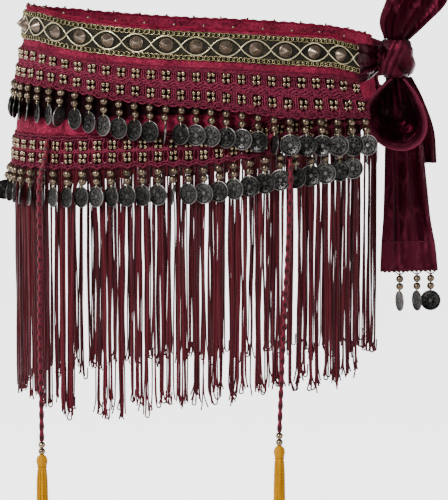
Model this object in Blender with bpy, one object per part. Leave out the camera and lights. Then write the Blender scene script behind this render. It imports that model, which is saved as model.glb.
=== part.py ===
"""Belly dance hip scarf: velvet yoke, metal braid, two tiers of crochet net with
bead and coin dangles, long fringe, side knot with bow loops, and two tasselled cords.

Metres, +Z up, -Y is the front, +X is the side of the knot.
The origin is the middle of the hips that hold the scarf.
Stations along the scarf run from 0 at its front end to 1 at its back end.
"""
import math

import bmesh
import bpy
import numpy as np
from mathutils import Vector

# Hip section
HIP_HALF_WIDTH = 0.169
HIP_HALF_DEPTH = 0.115
HIP_POWER = 2.5
FLARE = 0.10
FRONT_END_TURN = 54.0
BACK_END_TURN = -255.0

# Heights round the scarf
# turn in degrees, top of the band, lower edge of the upper net, of the lower net,
# extra outward push of the upper net, end of the fringe
HEIGHTS = (
    (54.0, 0.006, -0.063, -0.083, 0.0080, -0.306),
    (40.0, 0.013, -0.062, -0.086, 0.0075, -0.313),
    (20.0, 0.016, -0.060, -0.092, 0.0045, -0.312),
    (0.0, 0.020, -0.051, -0.104, 0.0010, -0.326),
    (-20.0, 0.024, -0.045, -0.107, 0.0005, -0.338),
    (-40.0, 0.029, -0.036, -0.110, 0.0, -0.342),
    (-60.0, 0.036, -0.033, -0.111, 0.0, -0.329),
    (-90.0, 0.037, -0.032, -0.112, 0.0, -0.329),
    (-135.0, 0.030, -0.038, -0.110, 0.0, -0.336),
    (-180.0, 0.020, -0.048, -0.104, 0.0010, -0.330),
    (-225.0, 0.013, -0.058, -0.092, 0.0045, -0.316),
    (-255.0, 0.006, -0.063, -0.084, 0.0075, -0.306),
)

# Velvet yoke
BAND_HEIGHT = 0.039
BAND_THICK = 0.0022
YOKE_THICK = 0.0014
LOWER_NET_HEIGHT = 0.030

# Metal braid with domed studs
BRAID_DROP = 0.003
BRAID_HEIGHT = 0.026
BRAID_THICK = 0.0012
STUD_RADIUS = 0.0063
STUD_HEIGHT = 0.0055
STUD_SIDES = 8

# Crochet nets
SEAM = 0.0003
COLUMNS = 60
NET_THICK = 0.0016
UPPER_NET_RELIEF = 0.0014
LOWER_NET_RELIEF = 0.0016
WINDOW_SHARE = 0.5
UPPER_FLARE_OUT = 0.0020

# Bead and coin dangles
BEAD_RADIUS = 0.0039
PAIR_HEIGHT = 0.0150
COIN_RADIUS = 0.0102
COIN_THICK = 0.0012
TRIM_HEIGHT = 0.0030
TRIM_DEPTH = 0.0022
# Outward lean of the dangles, and what a coin seen edge-on adds
UPPER_LEAN = 0.22
LOWER_LEAN = 0.10
EDGE_ON_LEAN = 0.20

# Fringe
LOCKS_PER_COLUMN = 2
LOCK_WIDTH = 0.0046
LOCK_DEPTH = 0.0016
FRINGE_NODES = 6
FRINGE_BACK = 0.0024
FRINGE_RISE = 0.0035
HEADING_DEPTH = 0.0020

# Knot and the middle of the long tail's hem
KNOT_X = 0.184
KNOT_Y = -0.040
KNOT_SIDES = 10
KNOT_WAVE = 0.0015
TAIL_HEM = (0.1985, -0.0340, -0.2151)

# Cords and tassels
CORD_DIAMETER = 0.005
CORD_BEAD_RADIUS = 0.0034
TASSEL_LOCKS = 7
# Columns where the cords hang, so that the coins there lie flatter
CORD_COLUMNS = (5.5, 21.5)
# Column at the side of the hips where the upper coins lie flat
SIDE_COLUMNS = (27.5,)
CALM_REACH = 1.6
CALM_TURN = 26

MATERIALS = {
    # slot: colour, roughness, metallic
    "velvet": ((0.110, 0.006, 0.017, 1.0), 0.85, 0.0),
    "satin": ((0.120, 0.008, 0.022, 1.0), 0.45, 0.0),
    "crochet": ((0.150, 0.012, 0.026, 1.0), 0.80, 0.0),
    "fringe": ((0.110, 0.010, 0.017, 1.0), 0.75, 0.0),
    "braid": ((0.240, 0.200, 0.130, 1.0), 0.45, 0.8),
    "coin": ((0.130, 0.130, 0.135, 1.0), 0.38, 0.9),
    "brass": ((0.260, 0.170, 0.090, 1.0), 0.35, 0.9),
    "tassel": ((0.760, 0.400, 0.030, 1.0), 0.55, 0.0),
}

# Faces within this many degrees of one plane are merged after a union
FLAT_ANGLE = 0.2

TURN_STEPS = np.linspace(FRONT_END_TURN, BACK_END_TURN, 1237)


def hip_frame(turn):
    """Return the point on the hip section at a turn, its outward and its forward-running direction."""
    angle = math.radians(turn)
    sine, cosine = math.sin(angle), math.cos(angle)
    x = HIP_HALF_WIDTH * math.copysign(abs(sine) ** (2 / HIP_POWER), sine)
    y = -HIP_HALF_DEPTH * math.copysign(abs(cosine) ** (2 / HIP_POWER), cosine)
    slope = HIP_POWER - 1
    outward = Vector((
        math.copysign(abs(x / HIP_HALF_WIDTH) ** slope / HIP_HALF_WIDTH, x),
        math.copysign(abs(y / HIP_HALF_DEPTH) ** slope / HIP_HALF_DEPTH, y),
        0.0,
    )).normalized()
    along = Vector((outward.y, -outward.x, 0.0))
    return Vector((x, y, 0.0)), outward, along


HIP_POINTS = np.array([hip_frame(turn)[0][:2] for turn in TURN_STEPS])
HIP_RUN = np.concatenate(([0.0], np.cumsum(np.hypot(*np.diff(HIP_POINTS, axis=0).T))))
GIRTH = float(HIP_RUN[-1])
HEIGHT_ROWS = np.array(HEIGHTS)


def turn_at(station):
    """Return the turn in degrees at a station."""
    return float(np.interp(station * GIRTH, HIP_RUN, TURN_STEPS))


def height(station, column):
    """Read one column of the height table at a station."""
    return float(np.interp(-turn_at(station), -HEIGHT_ROWS[:, 0], HEIGHT_ROWS[:, column]))


def band_top(station):
    return height(station, 1)


def upper_edge(station):
    return height(station, 2)


def lower_edge(station):
    return height(station, 3)


def push(station):
    return height(station, 4)


def fringe_end(station):
    return height(station, 5)


def yoke_edge(station):
    return lower_edge(station) + LOWER_NET_HEIGHT


def place(station, z, out, flare_z=None):
    """Return the point at a station, a height and a distance out from the hips."""
    base, outward, _ = hip_frame(turn_at(station))
    level = z if flare_z is None else flare_z
    point = base + outward * (out - FLARE * level)
    return Vector((point.x, point.y, z))


def material(slot):
    """Return a Principled material for a slot."""
    colour, roughness, metallic = MATERIALS[slot]
    made = bpy.data.materials.new(slot)
    made.use_nodes = True
    shader = made.node_tree.nodes["Principled BSDF"]
    shader.inputs["Base Color"].default_value = colour
    shader.inputs["Roughness"].default_value = roughness
    shader.inputs["Metallic"].default_value = metallic
    made.diffuse_color = colour
    return made


def finish(mesh_builder, name, slot):
    """Turn a bmesh into a named object with outward faces and its own material."""
    bmesh.ops.recalc_face_normals(mesh_builder, faces=mesh_builder.faces)
    bmesh.ops.triangulate(mesh_builder, faces=mesh_builder.faces)
    if mesh_builder.calc_volume(signed=True) < 0:
        bmesh.ops.reverse_faces(mesh_builder, faces=mesh_builder.faces)
    mesh = bpy.data.meshes.new(name)
    mesh_builder.to_mesh(mesh)
    mesh_builder.free()
    made = bpy.data.objects.new(name, mesh)
    bpy.context.scene.collection.objects.link(made)
    mesh.materials.append(material(slot))
    return made


class Wall:
    """A closed cloth wall between an outer grid and an inner grid of points."""

    def __init__(self):
        self.builder = bmesh.new()

    def grid(self, rows):
        return [[self.builder.verts.new(point) for point in row] for row in rows]

    def face(self, *verts):
        self.builder.faces.new(verts)

    def cut_wall(self, outer_rows, inner_rows, is_open):
        """Build a wall of equal grids and leave the open cells cut through."""
        outer, inner = self.grid(outer_rows), self.grid(inner_rows)
        row_count, column_count = len(outer) - 1, len(outer[0]) - 1

        def solid(row, column):
            inside = 0 <= row < row_count and 0 <= column < column_count
            return inside and not is_open(row, column)

        for row in range(row_count):
            for column in range(column_count):
                if not solid(row, column):
                    continue
                corners = ((row, column), (row, column + 1), (row + 1, column + 1), (row + 1, column))
                self.face(*(outer[r][c] for r, c in corners))
                self.face(*(inner[r][c] for r, c in reversed(corners)))
                sides = (
                    ((row - 1, column), 0, 1),
                    ((row, column + 1), 1, 2),
                    ((row + 1, column), 2, 3),
                    ((row, column - 1), 3, 0),
                )
                for neighbour, start, end in sides:
                    if solid(*neighbour):
                        continue
                    (r0, c0), (r1, c1) = corners[start], corners[end]
                    self.face(outer[r0][c0], outer[r1][c1], inner[r1][c1], inner[r0][c0])

    def relief_wall(self, outer_rows, inner_rows, stud_cell=None):
        """Build a wall whose outer grid is finer than its plain inner grid."""
        outer, inner = self.grid(outer_rows), self.grid(inner_rows)
        row_count, column_count = len(outer) - 1, len(outer[0]) - 1
        inner_count = len(inner[0]) - 1
        step = column_count // inner_count
        for row in range(row_count):
            for column in range(column_count):
                corners = (
                    outer[row][column],
                    outer[row][column + 1],
                    outer[row + 1][column + 1],
                    outer[row + 1][column],
                )
                if stud_cell and stud_cell(row, column):
                    self.stud(corners)
                else:
                    self.face(*corners)
        for column in range(inner_count):
            self.face(inner[0][column], inner[1][column], inner[1][column + 1], inner[0][column + 1])
            for row, rim in ((0, outer[0]), (-1, outer[-1])):
                run = rim[column * step:(column + 1) * step + 1]
                self.face(*run, inner[row][column + 1], inner[row][column])
        self.face(*(outer[row][0] for row in range(row_count + 1)), inner[-1][0], inner[0][0])
        self.face(*(outer[row][-1] for row in range(row_count + 1)), inner[-1][-1], inner[0][-1])

    def stud(self, corners):
        """Raise a domed stud in the middle of one cell."""
        middle = sum((corner.co for corner in corners), Vector()) / 4
        across = (corners[1].co - corners[0].co).normalized()
        down = (corners[3].co - corners[0].co).normalized()
        outward = down.cross(across).normalized()
        if outward.dot(Vector((middle.x, middle.y, 0.0))) < 0:
            outward.negate()
        base = []
        for side in range(STUD_SIDES):
            angle = math.radians(225 + 360 * side / STUD_SIDES)
            offset = across * math.cos(angle) - down * math.sin(angle)
            base.append(self.builder.verts.new(middle + offset * STUD_RADIUS))
        tip = self.builder.verts.new(middle + outward * STUD_HEIGHT)
        # The ring starts at the lower left corner and runs round to the right.
        order = (corners[3], corners[2], corners[1], corners[0])
        for quarter in range(4):
            first, middle_vert, last = (base[(quarter * 2 + k) % STUD_SIDES] for k in range(3))
            corner, following = order[quarter], order[(quarter + 1) % 4]
            self.face(corner, middle_vert, first)
            self.face(corner, following, middle_vert)
            self.face(following, last, middle_vert)
        for side in range(STUD_SIDES):
            after = (side + 1) % STUD_SIDES
            self.face(base[side], base[after], tip)


def loft(builder, rings):
    """Close a stack of equal rings of points into one body."""
    grids = [[builder.verts.new(point) for point in ring] for ring in rings]
    count = len(grids[0])
    for lower, upper in zip(grids, grids[1:]):
        for side in range(count):
            after = (side + 1) % count
            builder.faces.new((lower[side], lower[after], upper[after], upper[side]))
    builder.faces.new(tuple(reversed(grids[0])))
    builder.faces.new(tuple(grids[-1]))


def fuse(name, bodies, slot):
    """Unite closed bodies that overlap into one node."""
    base = finish(bodies[0], name + "_base", slot)
    rest = bmesh.new()
    for body in bodies[1:]:
        bmesh.ops.recalc_face_normals(body, faces=body.faces)
        held = bpy.data.meshes.new("held")
        body.to_mesh(held)
        rest.from_mesh(held)
        body.free()
        bpy.data.meshes.remove(held)
    cutter = finish_guide(rest, name + "_added")
    modifier = base.modifiers.new("unite", "BOOLEAN")
    modifier.operation = "UNION"
    modifier.solver = "EXACT"
    modifier.use_self = False
    modifier.object = cutter
    graph = bpy.context.evaluated_depsgraph_get()
    united = bpy.data.meshes.new_from_object(base.evaluated_get(graph))
    bpy.data.objects.remove(cutter)
    bpy.data.objects.remove(base)
    cleaned = bmesh.new()
    cleaned.from_mesh(united)
    bpy.data.meshes.remove(united)
    bmesh.ops.dissolve_limit(
        cleaned, angle_limit=math.radians(FLAT_ANGLE), verts=cleaned.verts, edges=cleaned.edges,
    )
    return finish(cleaned, name, slot)


def finish_guide(mesh_builder, name):
    """Keep added bodies as a guide that is not part of the object."""
    bmesh.ops.triangulate(mesh_builder, faces=mesh_builder.faces)
    mesh = bpy.data.meshes.new(name)
    mesh_builder.to_mesh(mesh)
    mesh_builder.free()
    guide = bpy.data.objects.new(name, mesh)
    guide.hide_render = True
    guide.display_type = "WIRE"
    bpy.context.scene.collection.objects.link(guide)
    return guide


def stations(start, end):
    """Return the column stations between two column numbers."""
    return [column / COLUMNS for column in range(start, end + 1)]


def velvet_yoke():
    """Velvet cloth round the hips, doubled over the height of the waist band."""
    run = stations(0, COLUMNS)
    outer = [
        [place(s, band_top(s), BAND_THICK) for s in run],
        [place(s, band_top(s) - BAND_HEIGHT + 0.0008, BAND_THICK) for s in run],
        [place(s, band_top(s) - BAND_HEIGHT, YOKE_THICK) for s in run],
        [place(s, yoke_edge(s), YOKE_THICK) for s in run],
    ]
    inner = [
        [place(s, band_top(s), 0.0) for s in run],
        [place(s, yoke_edge(s), 0.0) for s in run],
    ]
    wall = Wall()
    wall.relief_wall(outer, inner)
    finish(wall.builder, "velvet_yoke", "velvet")


def metal_braid():
    """Wire braid over the waist band with one domed stud in every second column."""
    run = stations(0, COLUMNS)
    back = BAND_THICK + SEAM
    levels = (0.0, BRAID_HEIGHT / 2 - 0.0068, BRAID_HEIGHT / 2 + 0.0068, BRAID_HEIGHT)
    outer = [
        [place(s, band_top(s) - BRAID_DROP - level, back + BRAID_THICK) for s in run]
        for level in levels
    ]
    inner = [
        [place(s, band_top(s) - BRAID_DROP - level, back) for s in run]
        for level in (0.0, BRAID_HEIGHT)
    ]
    wall = Wall()
    wall.relief_wall(outer, inner, lambda row, column: row == 1 and column % 2 == 1)
    finish(wall.builder, "metal_braid", "braid")


def upper_net(name, start, end):
    """Upper crochet net with two rows of raised bead clusters and a scalloped edge."""
    fine = [column / (2 * COLUMNS) for column in range(2 * start, 2 * end + 1)]
    coarse = stations(start, end)
    shares = (0.0, 0.20, 0.46, 0.72, 1.0)
    raised_rows = (1, 3)

    def top(s):
        return band_top(s) - BAND_HEIGHT - SEAM

    def out_at(s, share):
        return YOKE_THICK + SEAM + share * (UPPER_FLARE_OUT + push(s))

    outer = []
    for row, share in enumerate(shares):
        line = []
        for index, s in enumerate(fine):
            scallop = 0.0015 * (index % 2) if row == len(shares) - 1 else 0.0
            z = top(s) + share * (upper_edge(s) - top(s)) + scallop
            relief = UPPER_NET_RELIEF if row in raised_rows and index % 2 else 0.0
            line.append(place(s, z, out_at(s, share) + NET_THICK + relief))
        outer.append(line)
    inner = [
        [place(s, top(s) + share * (upper_edge(s) - top(s)), out_at(s, share)) for s in coarse]
        for share in (0.0, 1.0)
    ]
    wall = Wall()
    wall.relief_wall(outer, inner)
    finish(wall.builder, name, "crochet")


def lower_net(name, start, end):
    """Lower crochet net, cut through between its raised bead clusters."""
    half_window = WINDOW_SHARE / 2
    run = [start / COLUMNS]
    for column in range(start, end):
        run += [(column + 0.5 - half_window) / COLUMNS, (column + 0.5 + half_window) / COLUMNS]
    run.append(end / COLUMNS)
    drops = (0.0, 0.0045, 0.0130, 0.0160, 0.0245, LOWER_NET_HEIGHT)

    def rows(out, relief):
        grid = []
        for row, drop in enumerate(drops):
            raised = relief if 1 <= row <= 4 else 0.0
            grid.append([
                place(s, yoke_edge(s) - SEAM - drop * (1 - SEAM / LOWER_NET_HEIGHT), out + raised)
                for s in run
            ])
        return grid

    wall = Wall()
    wall.cut_wall(
        rows(NET_THICK, LOWER_NET_RELIEF),
        rows(0.0, 0.0),
        lambda row, column: row in (1, 3) and column % 2 == 1,
    )
    finish(wall.builder, name, "crochet")


def comb(name, slot, span, edge, out, rise, depth, half_root, hanging):
    """Narrow strip along a net's edge with hanging pieces grown from its lower face.

    Each hanging piece is a station and a function that takes the middle of its root,
    the outward and the along direction, and returns its four-point rings.
    """
    start, end = span
    run = [start / COLUMNS]
    for station, _ in hanging:
        run += [station - half_root / GIRTH, station + half_root / GIRTH]
    run.append(end / COLUMNS)
    wall = Wall()
    ridge, outer, inner = [], [], []
    for s in run:
        z = edge(s) + rise
        ridge.append(wall.builder.verts.new(place(s, z, out(s) + depth / 2, edge(s))))
        outer.append(wall.builder.verts.new(place(s, z - TRIM_HEIGHT, out(s) + depth, edge(s))))
        inner.append(wall.builder.verts.new(place(s, z - TRIM_HEIGHT, out(s), edge(s))))
    wall.face(ridge[0], outer[0], inner[0])
    wall.face(ridge[-1], inner[-1], outer[-1])
    for column in range(len(run) - 1):
        after = column + 1
        wall.face(ridge[column], ridge[after], outer[after], outer[column])
        wall.face(ridge[column], inner[column], inner[after], ridge[after])
        if column % 2 == 0:
            wall.face(outer[column], outer[after], inner[after], inner[column])
            continue
        root = [outer[column], outer[after], inner[after], inner[column]]
        station, shape = hanging[column // 2]
        _, outward, along = hip_frame(turn_at(station))
        middle = sum((corner.co for corner in root), Vector()) / 4
        for ring in shape(middle, outward, along):
            lower = [wall.builder.verts.new(point) for point in ring]
            for side in range(4):
                nearby = (side + 1) % 4
                wall.face(root[side], root[nearby], lower[nearby], lower[side])
            root = lower
        wall.face(*root)
    finish(wall.builder, name, slot)


def block(middle, first, second, half_first, half_second):
    """Return the four corners of a section between two directions."""
    return [
        middle + first * half_first - second * half_second,
        middle + first * half_first + second * half_second,
        middle - first * half_first + second * half_second,
        middle - first * half_first - second * half_second,
    ]


def dangle_rings(root, outward, along, slope, yaw):
    """Rings of a bead pair over a thin coin turned about its own upright axis."""
    def centre(drop):
        return root + outward * (slope * drop) - Vector((0.0, 0.0, drop))

    first = outward * math.cos(yaw) - along * math.sin(yaw)
    second = along * math.cos(yaw) + outward * math.sin(yaw)
    rim = COIN_RADIUS * 0.87
    rings = [block(centre(PAIR_HEIGHT / 2), outward, along, BEAD_RADIUS * 0.85, BEAD_RADIUS * 0.85)]
    for drop, half_width in (
        (PAIR_HEIGHT, COIN_RADIUS * 0.50),
        (PAIR_HEIGHT + rim, COIN_RADIUS),
        (PAIR_HEIGHT + 2 * rim, COIN_RADIUS * 0.50),
    ):
        rings.append(block(centre(drop), first, second, COIN_THICK / 2, half_width))
    return rings


def coin_turn(index):
    """Return how far one coin is turned, in degrees, so that neighbours stay clear."""
    pattern = (27, 31, 25, 34, 28, 24, 84, 30, 26, 33, 29, 25, 35, 80)
    return pattern[index % len(pattern)]


def coin_row(name, start, end, edge, strip_out, strip_rise, at_posts, calm, lean):
    """One row of bead and coin dangles under a net."""
    hanging = []
    for index in range(start + 1, end) if at_posts else range(start, end):
        station = (index if at_posts else index + 0.5) / COLUMNS
        yaw = coin_turn(index)
        if any(abs(station * COLUMNS - column) < CALM_REACH for column in calm):
            yaw = CALM_TURN
        slope = lean if yaw < 60 else lean + EDGE_ON_LEAN

        def shape(root, outward, along, slope=slope, yaw=math.radians(yaw)):
            return dangle_rings(root, outward, along, slope, yaw)

        hanging.append((station, shape))
    comb(name, "coin", (start, end), edge, strip_out, strip_rise, TRIM_DEPTH, 0.0008, hanging)


def fringe(name, start, end):
    """One length of fringe: locks of twisted yarn under a narrow heading."""
    hanging = []
    for index in range(start * LOCKS_PER_COLUMN, end * LOCKS_PER_COLUMN):
        station = (index + 0.5) / (COLUMNS * LOCKS_PER_COLUMN)
        sway = 0.0016 * math.sin(index * 2.4)
        ragged = 0.006 * math.sin(index * 1.7) + 0.004 * math.sin(index * 4.1)
        foot = fringe_end(station) + ragged

        def shape(root, outward, along, sway=sway, foot=foot):
            middle = Vector((root.x, root.y, foot)) + along * sway
            return [block(middle, outward, along, LOCK_DEPTH / 2, LOCK_WIDTH * 0.35)]

        hanging.append((station, shape))
    comb(
        name, "fringe", (start, end), lower_edge, lambda s: -FRINGE_BACK, FRINGE_RISE,
        HEADING_DEPTH, LOCK_WIDTH * 0.4, hanging,
    )


def ribbon(name, rings, slot, folds=(0.0, 0.6, -0.4, 0.5, 0.0)):
    """Flat cloth tie drawn through rings of centre, half-width vector, half-thickness and fold."""
    centres = [Vector(ring[0]) for ring in rings]
    sections = []
    for index, (_, half_width, half_thick, fold) in enumerate(rings):
        before, after = centres[max(index - 1, 0)], centres[min(index + 1, len(rings) - 1)]
        wide = Vector(half_width)
        normal = (after - before).cross(wide)
        if index in (0, len(rings) - 1) and wide.z == 0.0:
            normal.z = 0.0
        normal.normalize()
        front, back = [], []
        for step, share in enumerate(folds):
            across = centres[index] + wide * (2 * step / (len(folds) - 1) - 1) + normal * (share * fold)
            front.append(across + normal * half_thick)
            back.append(across - normal * half_thick)
        sections.append(front + back[::-1])
    builder = bmesh.new()
    loft(builder, sections)
    finish(builder, name, slot)


def tie_runs():
    """Cloth ends that run from the yoke to the knot."""
    ribbon("tie_run_front", (
        ((0.1448, -0.0768, -0.0140), (0.0, 0.0, 0.0190), 0.0011, 0.0),
        ((0.1530, -0.0680, -0.0135), (0.0, 0.0, 0.0175), 0.0016, 0.0012),
        ((0.1592, -0.0570, -0.0130), (0.0, 0.0, 0.0155), 0.0018, 0.0014),
        ((0.1661, -0.0432, -0.0110), (0.0, 0.0, 0.0125), 0.0018, 0.0006),
    ), "satin")
    ribbon("tie_run_back", (
        ((0.1660, 0.0362, -0.0140), (0.0, 0.0, 0.0190), 0.0012, 0.0),
        ((0.1710, 0.0200, -0.0140), (0.0, 0.0, 0.0175), 0.0016, 0.0012),
        ((0.1800, -0.0040, -0.0130), (0.0, 0.0, 0.0150), 0.0022, 0.0016),
        ((0.1828, -0.0241, -0.0105), (0.0, 0.0, 0.0125), 0.0022, 0.0008),
    ), "satin")


def knot():
    """Rounded knot of the ties."""
    profile = (
        # height, half-width, half-depth
        (-0.0290, 0.0110, 0.0125),
        (-0.0255, 0.0150, 0.0150),
        (-0.0170, 0.0172, 0.0160),
        (-0.0090, 0.0150, 0.0150),
        (-0.0020, 0.0165, 0.0156),
        (0.0040, 0.0145, 0.0145),
        (0.0068, 0.0120, 0.0125),
    )
    rings = []
    for z, half_width, half_depth in profile:
        ring = []
        for side in range(KNOT_SIDES):
            angle = 2 * math.pi * side / KNOT_SIDES
            ring.append(Vector((
                KNOT_X + half_width * math.cos(angle),
                KNOT_Y + half_depth * math.sin(angle),
                z + KNOT_WAVE * math.cos(2 * angle) if -0.02 < z < 0.0 else z,
            )))
        rings.append(ring)
    builder = bmesh.new()
    loft(builder, rings)
    finish(builder, "knot", "satin")


def bow_loops():
    """Two loops of the bow, one standing up and one hanging with its opening to the front."""
    ribbon("bow_loop_upper", (
        ((0.1840, -0.0490, 0.0073), (0.0120, 0.0, 0.0), 0.0014, 0.0010),
        ((0.1900, -0.0560, 0.0250), (0.0230, 0.0, -0.0010), 0.0011, 0.0030),
        ((0.2030, -0.0590, 0.0480), (0.0262, 0.0, -0.0060), 0.0010, 0.0035),
        ((0.2110, -0.0570, 0.0760), (0.0262, 0.0, -0.0080), 0.0010, 0.0030),
        ((0.2160, -0.0490, 0.0990), (0.0250, 0.0, -0.0080), 0.0010, 0.0015),
        ((0.2170, -0.0380, 0.1060), (0.0245, 0.0, -0.0070), 0.0010, 0.0010),
        ((0.2160, -0.0270, 0.0980), (0.0250, 0.0, -0.0080), 0.0010, 0.0015),
        ((0.2110, -0.0200, 0.0740), (0.0250, 0.0, -0.0080), 0.0010, 0.0030),
        ((0.2020, -0.0190, 0.0470), (0.0240, 0.0, -0.0050), 0.0010, 0.0035),
        ((0.1900, -0.0240, 0.0240), (0.0200, 0.0, -0.0010), 0.0011, 0.0025),
        ((0.1840, -0.0310, 0.0073), (0.0115, 0.0, 0.0), 0.0014, 0.0010),
    ), "satin")
    ribbon("bow_loop_lower", (
        ((0.1785, -0.0470, -0.0294), (-0.0010, 0.0080, 0.0), 0.0013, 0.0006),
        ((0.1690, -0.0520, -0.0400), (-0.0010, 0.0130, 0.0), 0.0011, 0.0010),
        ((0.1580, -0.0570, -0.0550), (0.0, 0.0180, 0.0), 0.0010, 0.0012),
        ((0.1600, -0.0575, -0.0730), (0.0, 0.0190, 0.0), 0.0010, 0.0015),
        ((0.1730, -0.0575, -0.0870), (0.0, 0.0190, 0.0), 0.0010, 0.0012),
        ((0.1910, -0.0575, -0.0905), (0.0, 0.0190, 0.0), 0.0010, 0.0012),
        ((0.2040, -0.0575, -0.0820), (0.0, 0.0190, 0.0), 0.0010, 0.0012),
        ((0.2065, -0.0570, -0.0670), (0.0, 0.0180, 0.0), 0.0010, 0.0012),
        ((0.1990, -0.0530, -0.0470), (0.0, 0.0140, 0.0), 0.0011, 0.0010),
        ((0.1905, -0.0470, -0.0294), (0.0, 0.0080, 0.0), 0.0013, 0.0006),
    ), "satin")


def tails():
    """Long tail with a hem band and the short tail behind it."""
    folds = (0.0, 0.7, -0.5, 0.6, -0.7, 0.4, 0.0)
    ribbon("tail_long", (
        ((0.1850, -0.0330, -0.0294), (0.0105, 0.0, 0.0), 0.0010, 0.0004),
        ((0.1890, -0.0325, -0.0550), (0.0140, 0.0, 0.0), 0.0010, 0.0012),
        ((0.1925, -0.0310, -0.0935), (0.0180, 0.0020, 0.0), 0.0010, 0.0024),
        ((0.1945, -0.0320, -0.1300), (0.0205, 0.0040, 0.0), 0.0010, 0.0032),
        ((0.1960, -0.0330, -0.1650), (0.0230, 0.0050, 0.0), 0.0010, 0.0032),
        ((0.1975, -0.0340, -0.1900), (0.0262, 0.0050, 0.0), 0.0013, 0.0022),
        ((0.1985, -0.0340, -0.2147), (0.0280, 0.0050, 0.0), 0.0013, 0.0012),
    ), "satin", folds)
    ribbon("tail_short", (
        ((0.1920, -0.0278, -0.0294), (0.0080, 0.0, 0.0), 0.0010, 0.0004),
        ((0.2000, -0.0250, -0.0500), (0.0110, 0.0, 0.0), 0.0010, 0.0012),
        ((0.2090, -0.0230, -0.0800), (0.0130, 0.0010, 0.0), 0.0010, 0.0020),
        ((0.2130, -0.0220, -0.1120), (0.0120, 0.0010, 0.0), 0.0010, 0.0020),
    ), "satin", folds)


def tail_coins():
    """Three dangles on a narrow strip under the hem of the long tail."""
    direction = Vector((0.0280, 0.0050, 0.0)).normalized()
    outward = Vector((direction.y, -direction.x, 0.0))
    hem = Vector(TAIL_HEM)
    left = hem - direction * 0.0170
    right = hem + direction * 0.0270
    half = outward * 0.0012
    low = Vector((0.0, 0.0, TRIM_HEIGHT))
    strip = bmesh.new()
    loft(strip, [
        [end - half, end + half, end + half - low, end - half - low]
        for end in (left, right)
    ])
    bodies = [strip]
    for distance, yaw in ((-0.0090, 82.0), (0.0080, 78.0), (0.0215, 20.0)):
        root = hem - low + direction * distance
        above = root + Vector((0.0, 0.0, 0.0010))
        rings = [block(above, outward, direction, 0.0008, 0.0008)]
        body = bmesh.new()
        loft(body, rings + dangle_rings(root, outward, direction, 0.0, math.radians(yaw)))
        bodies.append(body)
    fuse("tail_coins", bodies, "coin")


# Route of each cord, from the net to the tassel: x, y, z
LEFT_CORD = (
    (-0.1425, -0.0945, -0.0835),
    (-0.1431, -0.0953, -0.0910),
    (-0.1443, -0.0968, -0.0990),
    (-0.1459, -0.0988, -0.1065),
    (-0.1478, -0.1013, -0.1135),
    (-0.1492, -0.1030, -0.1205),
    (-0.1498, -0.1038, -0.1290),
    (-0.1499, -0.1040, -0.1400),
    (-0.1497, -0.1041, -0.1600),
    (-0.1495, -0.1040, -0.1900),
    (-0.1497, -0.1038, -0.2200),
    (-0.1502, -0.1037, -0.2500),
    (-0.1502, -0.1038, -0.2800),
    (-0.1498, -0.1040, -0.3100),
    (-0.1496, -0.1040, -0.3400),
    (-0.1496, -0.1040, -0.3660),
)
RIGHT_CORD = (
    (0.0796, -0.1204, -0.0947),
    (0.0802, -0.1233, -0.0949),
    (0.0809, -0.1262, -0.0961),
    (0.0815, -0.1289, -0.0990),
    (0.0820, -0.1310, -0.1042),
    (0.0822, -0.1319, -0.1120),
    (0.0822, -0.1321, -0.1220),
    (0.0816, -0.1321, -0.1400),
    (0.0806, -0.1320, -0.1650),
    (0.0794, -0.1319, -0.1900),
    (0.0780, -0.1319, -0.2200),
    (0.0766, -0.1320, -0.2500),
    (0.0753, -0.1321, -0.2800),
    (0.0741, -0.1322, -0.3100),
    (0.0732, -0.1322, -0.3350),
    (0.0726, -0.1322, -0.3515),
)


def smooth_route(points, count):
    """Read evenly spaced points from a smooth curve through a route."""
    fine = []
    for index in range(len(points) - 1):
        p0, p1, p2, p3 = (
            Vector(points[min(max(index + k, 0), len(points) - 1)]) for k in (-1, 0, 1, 2)
        )
        for step in range(12):
            t = step / 12
            fine.append(0.5 * (
                2 * p1 + (p2 - p0) * t + (2 * p0 - 5 * p1 + 4 * p2 - p3) * t ** 2
                + (3 * p1 - p0 - 3 * p2 + p3) * t ** 3
            ))
    fine.append(Vector(points[-1]))
    run = np.concatenate(([0.0], np.cumsum([(b - a).length for a, b in zip(fine, fine[1:])])))
    wanted = np.linspace(0.0, run[-1], count)
    columns = [np.interp(wanted, run, [point[axis] for point in fine]) for axis in range(3)]
    return [Vector(row) for row in zip(*columns)]


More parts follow.
